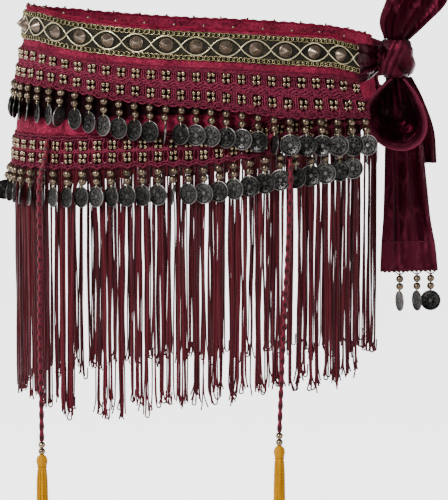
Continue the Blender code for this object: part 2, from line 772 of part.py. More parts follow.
def cord(side, route):
    """Braided cord, its two beads and its tassel."""
    curve = bpy.data.curves.new("cord_" + side, "CURVE")
    curve.dimensions = "3D"
    curve.bevel_depth = CORD_DIAMETER / 2
    curve.bevel_resolution = 2
    curve.use_fill_caps = True
    spline = curve.splines.new("POLY")
    points = smooth_route(route, 24)
    spline.points.add(len(points) - 1)
    for spot, point in zip(spline.points, points):
        spot.co = (*point, 1.0)
    made = bpy.data.objects.new("cord_" + side, curve)
    bpy.context.scene.collection.objects.link(made)
    curve.materials.append(material("fringe"))

    end = Vector(route[-1])

    def rings(levels, sides):
        return [
            [
                end + Vector((
                    radius * math.cos(2 * math.pi * k / sides),
                    radius * math.sin(2 * math.pi * k / sides),
                    -drop,
                ))
                for k in range(sides)
            ]
            for drop, radius in levels
        ]

    bead = CORD_BEAD_RADIUS
    beads = bmesh.new()
    loft(beads, rings((
        (SEAM, bead * 0.55),
        (SEAM + bead, bead),
        (SEAM + bead * 1.9, bead * 0.55),
        (SEAM + bead * 2.8, bead),
        (SEAM + bead * 3.7, bead * 0.55),
    ), 8))
    finish(beads, "cord_beads_" + side, "brass")

    head_top = 2 * SEAM + bead * 3.7
    head = bmesh.new()
    loft(head, rings((
        (head_top, 0.0022),
        (head_top + 0.0035, 0.0050),
        (head_top + 0.0080, 0.0048),
        (head_top + 0.0110, 0.0034),
        (head_top + 0.0150, 0.0046),
    ), 8))
    bodies = [head]
    for index in range(TASSEL_LOCKS):
        angle = 2 * math.pi * index / TASSEL_LOCKS
        outward = Vector((math.cos(angle), math.sin(angle), 0.0))
        along = Vector((-outward.y, outward.x, 0.0))
        lock_rings = []
        for drop, reach, width in (
            (head_top + 0.0145, 0.0036, 0.0009),
            (head_top + 0.0400, 0.0049, 0.0013),
            (head_top + 0.1000 - 0.003 * (index % 3), 0.0052, 0.0010),
        ):
            middle = end + outward * reach - Vector((0.0, 0.0, drop))
            lock_rings.append([
                middle + outward * 0.0008,
                middle - outward * 0.0008 + along * width,
                middle - outward * 0.0008 - along * width,
            ])
        lock = bmesh.new()
        loft(lock, lock_rings)
        bodies.append(lock)
    fuse("tassel_" + side, bodies, "tassel")


def main():
    """Clear the scene and model every piece of the scarf."""
    for item in list(bpy.data.objects):
        bpy.data.objects.remove(item)
    half = COLUMNS // 2
    velvet_yoke()
    metal_braid()
    upper_net("upper_net_front", 0, half)
    upper_net("upper_net_back", half, COLUMNS)
    lower_net("lower_net_front", 0, half)
    lower_net("lower_net_back", half, COLUMNS)

    def upper_out(s):
        return YOKE_THICK + SEAM + UPPER_FLARE_OUT + push(s) + NET_THICK + 2 * SEAM

    def lower_out(s):
        return NET_THICK + 2 * SEAM

    coin_row("upper_coins_front", 0, half, upper_edge, upper_out, 0.0030, False, SIDE_COLUMNS, UPPER_LEAN)
    coin_row("upper_coins_back", half, COLUMNS, upper_edge, upper_out, 0.0030, False, (), UPPER_LEAN)
    coin_row("lower_coins_front", 0, half, lower_edge, lower_out, 0.0025, True, CORD_COLUMNS, LOWER_LEAN)
    coin_row("lower_coins_back", half, COLUMNS, lower_edge, lower_out, 0.0025, True, (), LOWER_LEAN)
    length = COLUMNS // FRINGE_NODES
    for index in range(FRINGE_NODES):
        fringe("fringe_%d" % (index + 1), index * length, (index + 1) * length)
    tie_runs()
    knot()
    bow_loops()
    tails()
    tail_coins()
    cord("left", LEFT_CORD)
    cord("right", RIGHT_CORD)


main()
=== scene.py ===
"""Dresses the belly dance hip scarf: cloth, crochet, braid, coins, fringe and cords.

Metres, +Z up, -Y is the front. Stations along the scarf run from 0 at its front end
to 1 at its back end, and "out" is the distance from the hips.
"""

import logging
import math
from dataclasses import dataclass
from enum import Enum
from functools import cached_property, partial
from typing import Any, Sequence

import bpy
import numpy as np
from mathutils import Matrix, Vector


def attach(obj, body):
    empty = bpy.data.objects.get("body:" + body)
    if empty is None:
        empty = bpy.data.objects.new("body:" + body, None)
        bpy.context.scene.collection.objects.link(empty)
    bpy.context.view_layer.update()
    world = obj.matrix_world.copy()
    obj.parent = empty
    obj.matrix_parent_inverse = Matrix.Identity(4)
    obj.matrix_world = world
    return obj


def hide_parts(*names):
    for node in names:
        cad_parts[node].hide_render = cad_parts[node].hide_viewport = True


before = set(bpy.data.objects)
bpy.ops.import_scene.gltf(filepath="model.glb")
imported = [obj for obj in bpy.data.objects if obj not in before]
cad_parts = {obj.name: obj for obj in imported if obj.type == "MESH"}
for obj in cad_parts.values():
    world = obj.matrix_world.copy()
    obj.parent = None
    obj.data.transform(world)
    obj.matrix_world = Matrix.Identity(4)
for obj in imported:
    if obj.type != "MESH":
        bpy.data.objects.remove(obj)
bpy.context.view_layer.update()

LOG = logging.getLogger("hip_scarf")
MM = 0.001
TURN = 2 * math.pi
Piece = bpy.types.Object
Tree = bpy.types.NodeTree
Node = bpy.types.Node
Socket = bpy.types.NodeSocket
Array = np.ndarray


# Shared helpers


def linear(code: str) -> tuple[float, float, float, float]:
    """Turn an sRGB hex colour into linear RGBA.

    Args:
        code: Colour such as "7A1C33".

    Returns:
        Linear red, green and blue, and an alpha of one.
    """
    parts = [int(code[k:k + 2], 16) / 255 for k in (0, 2, 4)]
    low = [p / 12.92 if p <= 0.04045 else ((p + 0.055) / 1.055) ** 2.4 for p in parts]
    return (*low, 1.0)


def wire(tree: Tree, socket: Socket, value: Any) -> None:
    """Link an input to an output, or set its value.

    Args:
        tree: Node tree.
        socket: The input.
        value: Output socket or plain value.
    """
    if isinstance(value, Socket):
        tree.links.new(value, socket)
    else:
        socket.default_value = value


def add_node(tree: Tree, kind: str, wires: dict[Any, Any] | None = None, **settings: Any) -> Node:
    """Add a node with its settings, then its links and values.

    Args:
        tree: Node tree that takes the node.
        kind: The node's type name.
        wires: Input name or number, to a socket to link or a value to set.
        **settings: Attributes of the node.

    Returns:
        The new node.
    """
    made = tree.nodes.new(kind)
    for key, value in settings.items():
        setattr(made, key, value)
    for key, value in (wires or {}).items():
        wire(tree, made.inputs[key], value)
    return made


def add_object(name: str, data: Any) -> Piece:
    """Add an object to the scene at the origin.

    Args:
        name: Name of the object.
        data: Its mesh, lamp or camera.

    Returns:
        The object.
    """
    made = bpy.data.objects.new(name, data)
    bpy.context.scene.collection.objects.link(made)
    return made


def mesh_piece(
    name: str, points: Any, faces: Sequence[Sequence[int]] = (), edges: Sequence[Sequence[int]] = (),
) -> Piece:
    """Make a smooth mesh object at the origin.

    Args:
        name: Name of the piece.
        points: Corner points, in any grid of rows of three.
        faces: Corner numbers of each face.
        edges: Corner numbers of loose edges.

    Returns:
        The new object.
    """
    mesh = bpy.data.meshes.new(name)
    mesh.from_pydata(np.asarray(points, dtype=float).reshape(-1, 3).tolist(), list(edges), list(faces))
    if faces:
        mesh.polygons.foreach_set("use_smooth", [True] * len(mesh.polygons))
    return add_object(name, mesh)


def grid_faces(rows: int, columns: int, wrap: bool = False) -> list[tuple[int, ...]]:
    """List the quads of a grid of points.

    Args:
        rows: Number of rows of points.
        columns: Number of points in a row.
        wrap: Whether each row closes on itself.

    Returns:
        Corner numbers of each quad.
    """
    faces = []
    for row in range(rows - 1):
        for column in range(columns if wrap else columns - 1):
            after = (column + 1) % columns
            a, b = row * columns + column, row * columns + after
            faces.append((a, b, b + columns, a + columns))
    return faces


def grid(*parts: Any) -> Array:
    """Spread numbers over their common grid, as the last axis of one array."""
    return np.stack(np.broadcast_arrays(*parts), axis=-1)


def unit(rows: Array) -> Array:
    """Bring vectors to length one."""
    return rows / np.linalg.norm(rows, axis=-1, keepdims=True)


def walked(points: Array) -> Array:
    """Return the length walked along a line to each of its points."""
    return np.concatenate(([0.0], np.cumsum(np.linalg.norm(np.diff(points[:, :3], axis=0), axis=1))))


def write_uv(piece: Piece, values: Array) -> None:
    """Give a mesh a UV map from one value for each of its points.

    Args:
        piece: Mesh object.
        values: Two numbers for each point, in metres or shares.
    """
    layer = piece.data.uv_layers.new(name="cut")
    corners = np.empty(len(piece.data.loops), dtype=np.int32)
    piece.data.loops.foreach_get("vertex_index", corners)
    layer.data.foreach_set("uv", values.reshape(-1, 2)[corners].astype(np.float32).ravel())


def write_value(piece: Piece, label: str, values: Any, kind: str = "FLOAT") -> None:
    """Give a mesh a named number or vector for each of its points.

    Args:
        piece: Mesh object.
        label: Name of the attribute.
        values: The numbers or vectors.
        kind: FLOAT or FLOAT_VECTOR.
    """
    layer = piece.data.attributes.new(label, kind, "POINT")
    slot = "value" if kind == "FLOAT" else "vector"
    layer.data.foreach_set(slot, np.asarray(values).astype(np.float32).ravel())


def cloth_shell(name: str, outer: Array, inner: Array, uv: Array, **marks: Array) -> Piece:
    """Close a thin cloth between two equal grids of points.

    Args:
        name: Name of the piece.
        outer: Grid of outer points, rows by columns by three.
        inner: Grid of inner points of the same size.
        uv: Place of each point in the flat cut, in metres.
        **marks: Named numbers for each point of the grid.

    Returns:
        The cloth as one closed shell with faces outwards.
    """
    rows, columns = outer.shape[:2]
    count = rows * columns
    faces = grid_faces(rows, columns)
    faces += [tuple(corner + count for corner in reversed(face)) for face in faces]
    rim = list(range(columns))
    rim += [row * columns + columns - 1 for row in range(1, rows)]
    rim += [(rows - 1) * columns + column for column in range(columns - 2, -1, -1)]
    rim += [row * columns for row in range(rows - 2, 0, -1)]
    faces += [(b, a, a + count, b + count) for a, b in zip(rim, rim[1:] + rim[:1])]
    row, column = rows // 2, columns // 2
    middle = outer[row, column]
    side = np.cross(outer[row, column + 1] - middle, outer[row + 1, column] - middle)
    if np.dot(side, middle - inner[row, column]) < 0:
        faces = [tuple(reversed(face)) for face in faces]
    piece = mesh_piece(name, np.stack((outer, inner)), faces)
    write_uv(piece, np.stack((uv, uv)))
    for label, values in marks.items():
        write_value(piece, label, np.stack((values, values)))
    return piece


def tube_faces(rows: int, sides: int) -> list[tuple[int, ...]]:
    """List the faces of a tube of rings, with its ends closed.

    Args:
        rows: Number of rings.
        sides: Number of points of a ring.

    Returns:
        Corner numbers of each face.
    """
    faces = grid_faces(rows, sides, wrap=True)
    faces.append(tuple(reversed(range(sides))))
    faces.append(tuple((rows - 1) * sides + k for k in range(sides)))
    return faces


def smooth_rows(table: Array, count: int) -> Array:
    """Read evenly spaced rows from a smooth curve through the rows of a table.

    Args:
        table: Rows of numbers, the first three of them a place.
        count: Number of rows wanted.

    Returns:
        The new rows.
    """
    rows = np.asarray(table, dtype=float)
    padded = np.concatenate((2 * rows[:1] - rows[1:2], rows, 2 * rows[-1:] - rows[-2:-1]))
    t = np.linspace(0.0, 1.0, 16, endpoint=False)[:, None]
    parts = []
    for k in range(len(rows) - 1):
        p0, p1, p2, p3 = padded[k:k + 4]
        parts.append(0.5 * (
            2 * p1 + (p2 - p0) * t + (2 * p0 - 5 * p1 + 4 * p2 - p3) * t ** 2
            + (3 * p1 - p0 - 3 * p2 + p3) * t ** 3
        ))
    fine = np.concatenate((*parts, rows[-1:]))
    run = walked(fine)
    wanted = np.linspace(0.0, run[-1], count)
    return np.stack([np.interp(wanted, run, column) for column in fine.T], axis=1)


def bake(piece: Piece) -> Piece:
    """Turn a piece and its modifiers into a plain mesh.

    Args:
        piece: Object with modifiers.

    Returns:
        The same object with a plain mesh and no modifier.
    """
    graph = bpy.context.evaluated_depsgraph_get()
    mesh = bpy.data.meshes.new_from_object(
        piece.evaluated_get(graph), preserve_all_data_layers=True, depsgraph=graph,
    )
    piece.modifiers.clear()
    old = piece.data
    piece.data = mesh
    bpy.data.meshes.remove(old)
    mesh.name = piece.name
    return piece


class Slot(Enum):
    """Material slots."""

    VELVET = "velvet"
    SATIN = "satin"
    CROCHET = "crochet"
    FRINGE = "fringe"
    BRAID = "braid"
    COIN = "coin"
    BRASS = "brass"
    TASSEL = "tassel"


# Finishes


@dataclass(frozen=True)
class Finish:
    """A real material: its name, its colours in shade and light, and its gloss."""

    name: str
    dark: str
    light: str
    roughness: float = 0.6
    metallic: float = 0.0
    specular: float = 0.5

    def lay(self, graph: "Graph") -> None:
        """Lay the finish's nodes, here only its plain colour."""
        graph.set({"Base Color": linear(self.light)})


class Graph:
    """Nodes of one material round its Principled shader."""

    def __init__(self, finish: Finish) -> None:
        """Make the material and lay its nodes.

        Args:
            finish: The finish that it shows.
        """
        self.finish = finish
        self.made = bpy.data.materials.new(finish.name)
        self.made.use_nodes = True
        self.made.diffuse_color = linear(finish.light)
        self.tree = self.made.node_tree
        self.shader = self.tree.nodes["Principled BSDF"]
        self.set({
            "Roughness": finish.roughness, "Metallic": finish.metallic, "Specular IOR Level": finish.specular,
        })
        finish.lay(self)

    def set(self, values: dict[str, Any]) -> None:
        """Link or set inputs of the shader, by name."""
        for label, value in values.items():
            wire(self.tree, self.shader.inputs[label], value)

    def node(self, kind: str, wires: dict[Any, Any] | None = None, **settings: Any) -> Node:
        """Add a shader node, named without its prefix."""
        return add_node(self.tree, "ShaderNode" + kind, wires, **settings)

    def sum(self, operation: str, *values: Any) -> Socket:
        """Add one Math node on sockets and numbers."""
        return self.node("Math", dict(enumerate(values)), operation=operation).outputs[0]

    def mul(self, one: Any, other: Any) -> Socket:
        """Multiply two values."""
        return self.sum("MULTIPLY", one, other)

    def fma(self, one: Any, other: Any, more: Any) -> Socket:
        """Multiply two values and add a third."""
        return self.sum("MULTIPLY_ADD", one, other, more)

    def wave(self, value: Any, size: float = TURN) -> Socket:
        """Return the sine of a value times a size."""
        return self.sum("SINE", self.mul(value, size))

    def spread(self, value: Socket, low: float, high: float, start: float = 0.0, end: float = 1.0) -> Socket:
        """Map the values between two limits to a range, from start to end, and cut off the rest."""
        limits = {"From Min": low, "From Max": high, "To Min": start, "To Max": end}
        return self.node("MapRange", {"Value": value, **limits}).outputs["Result"]

    def place(self) -> Socket:
        """Read Object coordinates."""
        return self.node("TexCoord").outputs["Object"]

    def noise(
        self, size_mm: float, detail: float = 4.0, drawn: float = 1.0, distortion: float = 0.0,
    ) -> Socket:
        """Add noise of a real size on Object coordinates.

        Args:
            size_mm: Size of its patches.
            detail: Number of finer layers.
            drawn: Scale along Z: below one it draws the patches out downwards.
            distortion: How far the patches are bent.

        Returns:
            The noise, from zero to one.
        """
        place = self.place()
        if drawn != 1.0:
            place = self.node("Mapping", {"Vector": place, "Scale": (1.0, 1.0, drawn)}).outputs["Vector"]
        return self.node("TexNoise", {
            "Vector": place, "Scale": 1 / (size_mm * MM), "Detail": detail, "Distortion": distortion,
        }).outputs["Fac"]

    def mark(self, label: str) -> Socket:
        """Read a named number of the mesh."""
        return self.node("Attribute", attribute_name=label).outputs["Fac"]

    def cut(self) -> Sequence[Socket]:
        """Read the place in the flat cut, across and down."""
        place = self.node("UVMap", uv_map="cut").outputs["UV"]
        return self.node("SeparateXYZ", {"Vector": place}).outputs[:2]

    def mix(self, share: Socket, one: Any, other: Any) -> Socket:
        """Mix two colours."""
        return self.node("Mix", {"Factor": share, 6: one, 7: other}, data_type="RGBA").outputs[2]

    def blend(self, share: Socket) -> Socket:
        """Mix from the finish's dark to its light colour."""
        return self.mix(share, linear(self.finish.dark), linear(self.finish.light))

    def sheen(self, weight: float, roughness: float, tint: str) -> None:
        """Set the shader's sheen."""
        self.set({"Sheen Weight": weight, "Sheen Roughness": roughness, "Sheen Tint": linear(tint)})

    def bump(self, height: Socket, depth_mm: float, strength: float) -> None:
        """Raise the surface by a height from zero to one, with the real depth of one."""
        wires = {"Height": height, "Distance": depth_mm * MM, "Strength": strength}
        self.set({"Normal": self.node("Bump", wires).outputs["Normal"]})


@dataclass(frozen=True)
class PileFinish(Finish):
    """Velvet: dull pile that lights up where it turns away, with nap in uneven patches."""

    sheen: str = "C2486A"
    sheen_weight: float = 0.6
    patch_mm: float = 22.0
    nap_mm: float = 1.4
    shadow: str = "180308"

    def lay(self, graph: Graph) -> None:
        """Lay large patches, tufts and, where the mesh is marked, painted shade.

        Args:
            graph: Graph of the material.
        """
        patches = graph.spread(graph.noise(self.patch_mm, 5.0), 0.35, 0.68)
        nap = graph.noise(self.nap_mm, 3.0)
        share = graph.fma(graph.spread(nap, 0.32, 0.70), 0.55, graph.mul(patches, 0.45))
        # painted shade: the colour goes over to the shadow colour where the mesh is marked
        graph.set({"Base Color": graph.mix(graph.mark("deep"), graph.blend(share), linear(self.shadow))})
        graph.sheen(self.sheen_weight, 0.35, self.sheen)
        graph.bump(nap, 1.1, 0.9)


@dataclass(frozen=True)
class CrushedFinish(Finish):
    """Crushed satin-backed velvet: glossy ridges along fine crinkles, with painted highlight on them and
    painted shade in the folds.
    """

    crinkle_mm: float = 9.0
    nap_mm: float = 1.2
    glow: str = "D03860"

    def lay(self, graph: Graph) -> None:
        """Lay crinkles drawn out downwards, painted brighter on their ridges, and the painted light and shade
        that the mesh's lit mark carries.

        Args:
            graph: Graph of the material.
        """
        crinkle = graph.noise(self.crinkle_mm, 5.0, drawn=0.35, distortion=1.2)
        nap = graph.noise(self.nap_mm, 2.0)
        # painted highlight: the colour is lighter on the crinkles' ridges, and the lit mark adds painted
        # light and shade
        share = graph.fma(nap, 0.18, graph.mul(graph.spread(crinkle, 0.50, 0.72), 0.55))
        share = graph.fma(graph.mark("lit"), 0.8, share)
        graph.set({"Base Color": graph.blend(share), "Specular Tint": linear(self.glow)})
        graph.sheen(0.10, 0.3, self.glow)
        graph.bump(graph.fma(nap, 0.06, crinkle), 2.4, 0.8)


@dataclass(frozen=True)
class YarnFinish(Finish):
    """Twisted yarn: plies wind round each strand, with painted highlight on their crowns and painted shade
    between them.
    """

    ply_mm: float = 1.6
    plies: int = 2
    sheen_weight: float = 0.08
    ply_share: float = 0.6
    braided: bool = False

    def lay(self, graph: Graph) -> None:
        """Lay the plies' painted highlight and shade from the length and turn that each strand carries, and
        uneven dye.

        Args:
            graph: Graph of the material.
        """
        steps = graph.mul(graph.mark("run"), 1 / (self.ply_mm * MM))
        around = graph.mark("around")
        wave = graph.wave(graph.fma(around, float(self.plies), steps))
        if self.braided:
            wave = graph.sum("MAXIMUM", wave, graph.wave(graph.fma(around, -float(self.plies), steps)))
        # crown sets painted highlight on the plies' crowns and painted shade between them, and the bump; tone
        # and streaks are uneven dye
        crown = graph.spread(wave, 0.2 if self.braided else -1.0, 1.0)
        streaks = graph.spread(graph.noise(3.0, 2.0, drawn=0.06), 0.3, 0.7)
        uneven = graph.fma(graph.mark("tone"), 0.65, graph.mul(streaks, 0.35))
        share = graph.fma(crown, self.ply_share, graph.mul(uneven, 1.0 - self.ply_share))
        graph.set({"Base Color": graph.blend(share)})
        graph.sheen(self.sheen_weight, 0.4, self.light)
        graph.bump(crown, 0.3, 0.8)


@dataclass(frozen=True)
class CrochetFinish(Finish):
    """Crocheted ground: rows of interlocked stitches, with painted shade where they sink, and darker painted
    shade where the mesh is marked.
    """

    stitch_mm: float = 2.9
    row_mm: float = 2.6
    painted_shade_colour: str = "0C0204"

    def lay(self, graph: Graph) -> None:
        """Lay chevrons of stitches over ribs, a little unevenly, with painted shade in their low parts.

        Args:
            graph: Graph of the material.
        """
        across, down = graph.cut()
        wobble = graph.mul(graph.noise(7.0, 2.0), 5.0)
        rows = graph.fma(down, TURN / (self.row_mm * MM), wobble)
        ribs = graph.sum("SINE", rows)
        stitches = graph.mul(across, TURN / (self.stitch_mm * MM))
        chevron = graph.sum("SINE", graph.sum("ADD", stitches, ribs))
        height = graph.spread(graph.sum("ADD", chevron, ribs), -1.6, 1.7)
        # painted shade: the stitches' colour darkens with their height, and goes over to the painted shade
        # colour where the mesh is marked
        graph.set({"Base Color": graph.mix(graph.mark("deep"), graph.blend(height), linear(self.painted_shade_colour))})
        graph.sheen(0.10, 0.5, self.light)
        graph.bump(height, 1.5, 0.9)


@dataclass(frozen=True)
class MetalFinish(Finish):
    """Plated and rubbed metal: dark patina in patches, brighter where it is worn."""

    patina_mm: float = 2.5

    def lay(self, graph: Graph) -> None:
        """Lay the patina, duller where it is dark.

        Args:
            graph: Graph of the material.
        """
        patina = graph.spread(graph.noise(self.patina_mm, 3.0), 0.25, 0.75)
        rough = graph.spread(patina, -0.8, 1.4, self.roughness + 0.16, self.roughness - 0.06)
        graph.set({"Base Color": graph.blend(patina), "Roughness": rough})


@dataclass(frozen=True)
class CoinFinish(Finish):
    """Stamped, blackened silver: a rosette, a ring of dots and a rim, rubbed bright on top."""

    petals: int = 8
    dots: int = 30
    scroll_mm: float = 1.5

    @staticmethod
    def ring(graph: Graph, radius: Socket, centre: float, half: float) -> Socket:
        """Return one inside a ring of a radius, falling to zero at its edges."""
        off = graph.sum("ABSOLUTE", graph.sum("SUBTRACT", radius, centre))
        return graph.spread(off, half, half * 0.45)

    def lay(self, graph: Graph) -> None:
        """Lay the relief in shares of the coin's radius, and wear.

        Args:
            graph: Graph of the material.
        """
        across, up = (graph.sum("SUBTRACT", part, 0.5) for part in graph.cut())
        radius = graph.mul(graph.sum("SQRT", graph.fma(across, across, graph.mul(up, up))), 2.0)
        angle = graph.sum("ARCTAN2", up, across)
        dot_wave = graph.spread(graph.sum("COSINE", graph.mul(angle, float(self.dots))), -0.1, 0.5)
        petal_wave = graph.sum("ABSOLUTE", graph.sum("COSINE", graph.mul(angle, self.petals / 2)))
        petal_edge = graph.sum("SUBTRACT", graph.mul(petal_wave, 0.62), radius)
        petals = graph.sum(
            "SUBTRACT", graph.spread(petal_edge, 0.0, 0.05), graph.spread(petal_edge, 0.10, 0.16),
        )
        scrolls = graph.node(
            "TexVoronoi", {"Vector": graph.place(), "Scale": 1 / (self.scroll_mm * MM)},
            feature="DISTANCE_TO_EDGE",
        ).outputs["Distance"]
        fine = graph.mul(graph.spread(scrolls, 0.12, 0.02), 0.6)
        relief = graph.mul(graph.spread(radius, 0.86, 0.91), 0.7)
        for part in (
            graph.mul(dot_wave, self.ring(graph, radius, 0.76, 0.08)), petals,
            self.ring(graph, radius, 0.10, 0.09), self.ring(graph, radius, 0.655, 0.035),
            graph.mul(fine, graph.spread(radius, 0.66, 0.60)),
        ):
            relief = graph.sum("MAXIMUM", relief, part)
        rub = graph.spread(graph.noise(6.0, 3.0), 0.30, 0.70)
        worn = graph.fma(rub, 0.35, graph.mul(graph.mark("tone"), 0.55))
        graph.set({"Base Color": graph.blend(graph.mul(relief, worn))})
        graph.bump(relief, 0.45, 1.0)


@dataclass(frozen=True)
class WeaveFinish(Finish):
    """Dark metallic ground weave behind the wires, thread by thread."""

    thread_mm: float = 1.1

    def lay(self, graph: Graph) -> None:
        """Lay crossing threads with a painted highlight on their crowns, in patches.

        Args:
            graph: Graph of the material.
        """
        one, two = (graph.wave(part, TURN / (self.thread_mm * MM)) for part in graph.cut())
        height = graph.spread(graph.mul(one, two), -1.0, 1.0)
        # painted highlight on the threads' crowns, shown in patches
        painted_glint = graph.mul(height, graph.spread(graph.noise(3.0), 0.40, 0.72))
        graph.set({"Base Color": graph.blend(painted_glint)})
        graph.bump(height, 0.4, 0.8)


@dataclass(frozen=True)
class LitPaper(Finish):
    """White paper that glows more and more towards the far side, to fill the view."""

    near: float = 0.6
    far: float = 1.9
    dim: float = 0.4
    bright: float = 3.2

    def lay(self, graph: Graph) -> None:
        """Lay the glow along Object Y.

        Args:
            graph: Graph of the material.
        """
        depth = graph.node("SeparateXYZ", {"Vector": graph.place()}).outputs[1]
        glow = graph.spread(depth, self.near, self.far, self.dim, self.bright)
        white = linear("FFFFFF")
        graph.set({"Base Color": linear(self.light), "Emission Strength": glow, "Emission Color": white})


# Velvet with cut pile, deep burgundy: its look is the pile's dull face and its sheen at
# grazing light. The nap is coarsened from 0.5 to 2.2 mm, so that it shows at this size.
VELVET = PileFinish("velvet pile", "1E0409", "9C2A48", 0.9, 0.0, 0.08, "C02850", 0.14, nap_mm=2.2)
# Narrow velvet rouleau along the top edge, with a lighter dark colour and a darker light colour than the
# yoke's velvet.
PIPING = PileFinish("velvet rouleau", "3A0412", "8A1836", 0.85, 0.0, 0.1, "B02048", 0.12, 8.0)
# Crushed velvet with a satin back, crinkled by pressing: its ridges shine crimson in its gloss, and its
# colour carries painted highlight on the ridges and painted shade in the folds.
CRUSHED = CrushedFinish("crushed velvet", "080104", "5C2232", 0.29, 0.0, 0.42)
# Mercerised cotton, crocheted: matt, with a slight shine on each ply. Plies and stitches
# are coarsened from about 1 mm to between 2.4 and 2.9 mm.
CROCHET_YARN = YarnFinish("crochet cotton", "1A0308", "9A3450", 0.70, 0.0, 0.15, ply_mm=2.4)
CROCHET_GROUND = CrochetFinish("crochet ground", "120206", "822640", 0.75, 0.0, 0.1)
# The web behind the clusters is a darker copy of the crochet cotton, as painted shade of the yarn in front of
# it.
WEB_YARN = YarnFinish("shaded crochet cotton", "160206", "4A0A1C", 0.8, 0.0, 0.05, ply_mm=1.9)
# Rayon fringe yarn: smooth twisted filaments, so it shines in long streaks. Its plies are
# coarsened from about 1.2 to 2.4 mm.
FRINGE_YARN = YarnFinish("rayon fringe", "080103", "701C2A", 0.42, 0.0, 0.18, 2.4, 2, 0.03, 0.22)
# Rayon braid: its strands cross both ways, one crossing every 10.5 mm.
CORD_YARN = YarnFinish(
    "braided rayon cord", "0C0104", "7C1E32", 0.45, 0.0, 0.2, ply_mm=10.5, ply_share=0.85, braided=True,
)
# Golden rayon: bright, hardly twisted, with no sheen to wash out the yellow.
TASSEL_YARN = YarnFinish("golden tassel yarn", "7A4400", "FFB600", 0.5, 0.0, 0.15, 3.0, 2, 0.0, 0.2)
# Brass-plated beads, darkened and rubbed by tumbling; the small ones stay brighter.
BRASS = MetalFinish("antique brass plate", "3A3028", "96826C", 0.27, 0.95, patina_mm=5.0)
SMALL_BRASS = MetalFinish("bright brass bead", "40352A", "C0A88A", 0.20, 1.0, patina_mm=3.0)
# Spun studs in a dull pewter-brown plate.
PEWTER = MetalFinish("spun pewter plate", "5A4E44", "A08C7C", 0.29, 0.85, patina_mm=5.0)
# Gilt wires: the crossing ones are rubbed bright, the scrolls keep their patina.
WIRE = MetalFinish("antique gold wire", "B4A678", "FFF2CC", 0.25, 0.7, patina_mm=2.0)
SCROLL_WIRE = MetalFinish("darkened gold wire", "4E4224", "D8C894", 0.25, 0.85, patina_mm=2.5)
# Blackened metal thread, coarsened from 0.4 to 1.1 mm, which lets the gilt wires stand out.
GROUND = WeaveFinish("dark metal weave", "0C0B06", "4A4328", 0.5, 0.6)
# Blackened silver: near black in the ground, bright where the relief is rubbed.
COIN = CoinFinish("blackened stamped silver", "020203", "B8B4B0", 0.33, 0.9, 0.2)
# Matt paper under and behind the scarf, which glows as painted light, more towards the far side.
PAPER = LitPaper("white paper", "F2F2F2", "F2F2F2", 0.9, 0.0, 0.1)


class Wardrobe:
    """Builds each finish once and hands its material out."""

    def __init__(self) -> None:
        """Start with nothing built."""
        self.made: dict[str, bpy.types.Material] = {}

    def of(self, finish: Finish) -> bpy.types.Material:
        """Return the material of a finish.

        Args:
            finish: The finish.

        Returns:
            Its material, built on first use.
        """
        if finish.name not in self.made:
            self.made[finish.name] = Graph(finish).made
        return self.made[finish.name]


WARDROBE = Wardrobe()


def wear(piece: Piece, nodes: Sequence[str] = (), finish: Finish | None = None) -> Piece:
    """Let a piece ride on the scarf and stand for CAD nodes.

    Args:
        piece: Finished piece.
        nodes: CAD nodes that it replaces.
        finish: Its finish, where it has none yet.

    Returns:
        The piece.
    """
    if finish is not None:
        piece.data.materials.append(WARDROBE.of(finish))
    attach(piece, "root")
    if nodes:
        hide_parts(*nodes)
    faces = len(piece.data.polygons)
    LOG.info("%s: %d faces, stands for %s", piece.name, faces, ", ".join(nodes) or "no node")
    return piece


# Geometry Nodes


@dataclass(frozen=True)
class Yarn:
    """Size and twist of a strand: a flattened round section that winds as it runs."""

    radius: float
    sides: int = 5
    flatness: float = 0.72
    twist: float = 0.006
    wander: float = 0.0
    wander_size: float = 0.05
    seed: int = 3


def new_group(name: str, inputs: Sequence[tuple[str, str]]) -> tuple[Tree, Node]:
    """Start a Geometry Nodes group with named inputs.

    Args:
        name: Name of the group.
        inputs: Name and socket type of each input after the geometry.

    Returns:
        The group and its input node.
    """
    tree = bpy.data.node_groups.new(name, "GeometryNodeTree")
    tree.interface.new_socket("Geometry", in_out="INPUT", socket_type="NodeSocketGeometry")
    for label, kind in inputs:
        tree.interface.new_socket(label, in_out="INPUT", socket_type=kind)
    tree.interface.new_socket("Geometry", in_out="OUTPUT", socket_type="NodeSocketGeometry")
    return tree, add_node(tree, "NodeGroupInput")


def close_group(tree: Tree, geometry: Socket, material: Socket) -> None:
    """End a group in Realize Instances and Set Material.

    Args:
        tree: The group.
        geometry: Geometry to hand out.
        material: Material input.
    """
    real = add_node(tree, "GeometryNodeRealizeInstances", {0: geometry})
    dressed = add_node(tree, "GeometryNodeSetMaterial", {"Geometry": real.outputs[0], "Material": material})
    add_node(tree, "NodeGroupOutput", {0: dressed.outputs[0]})


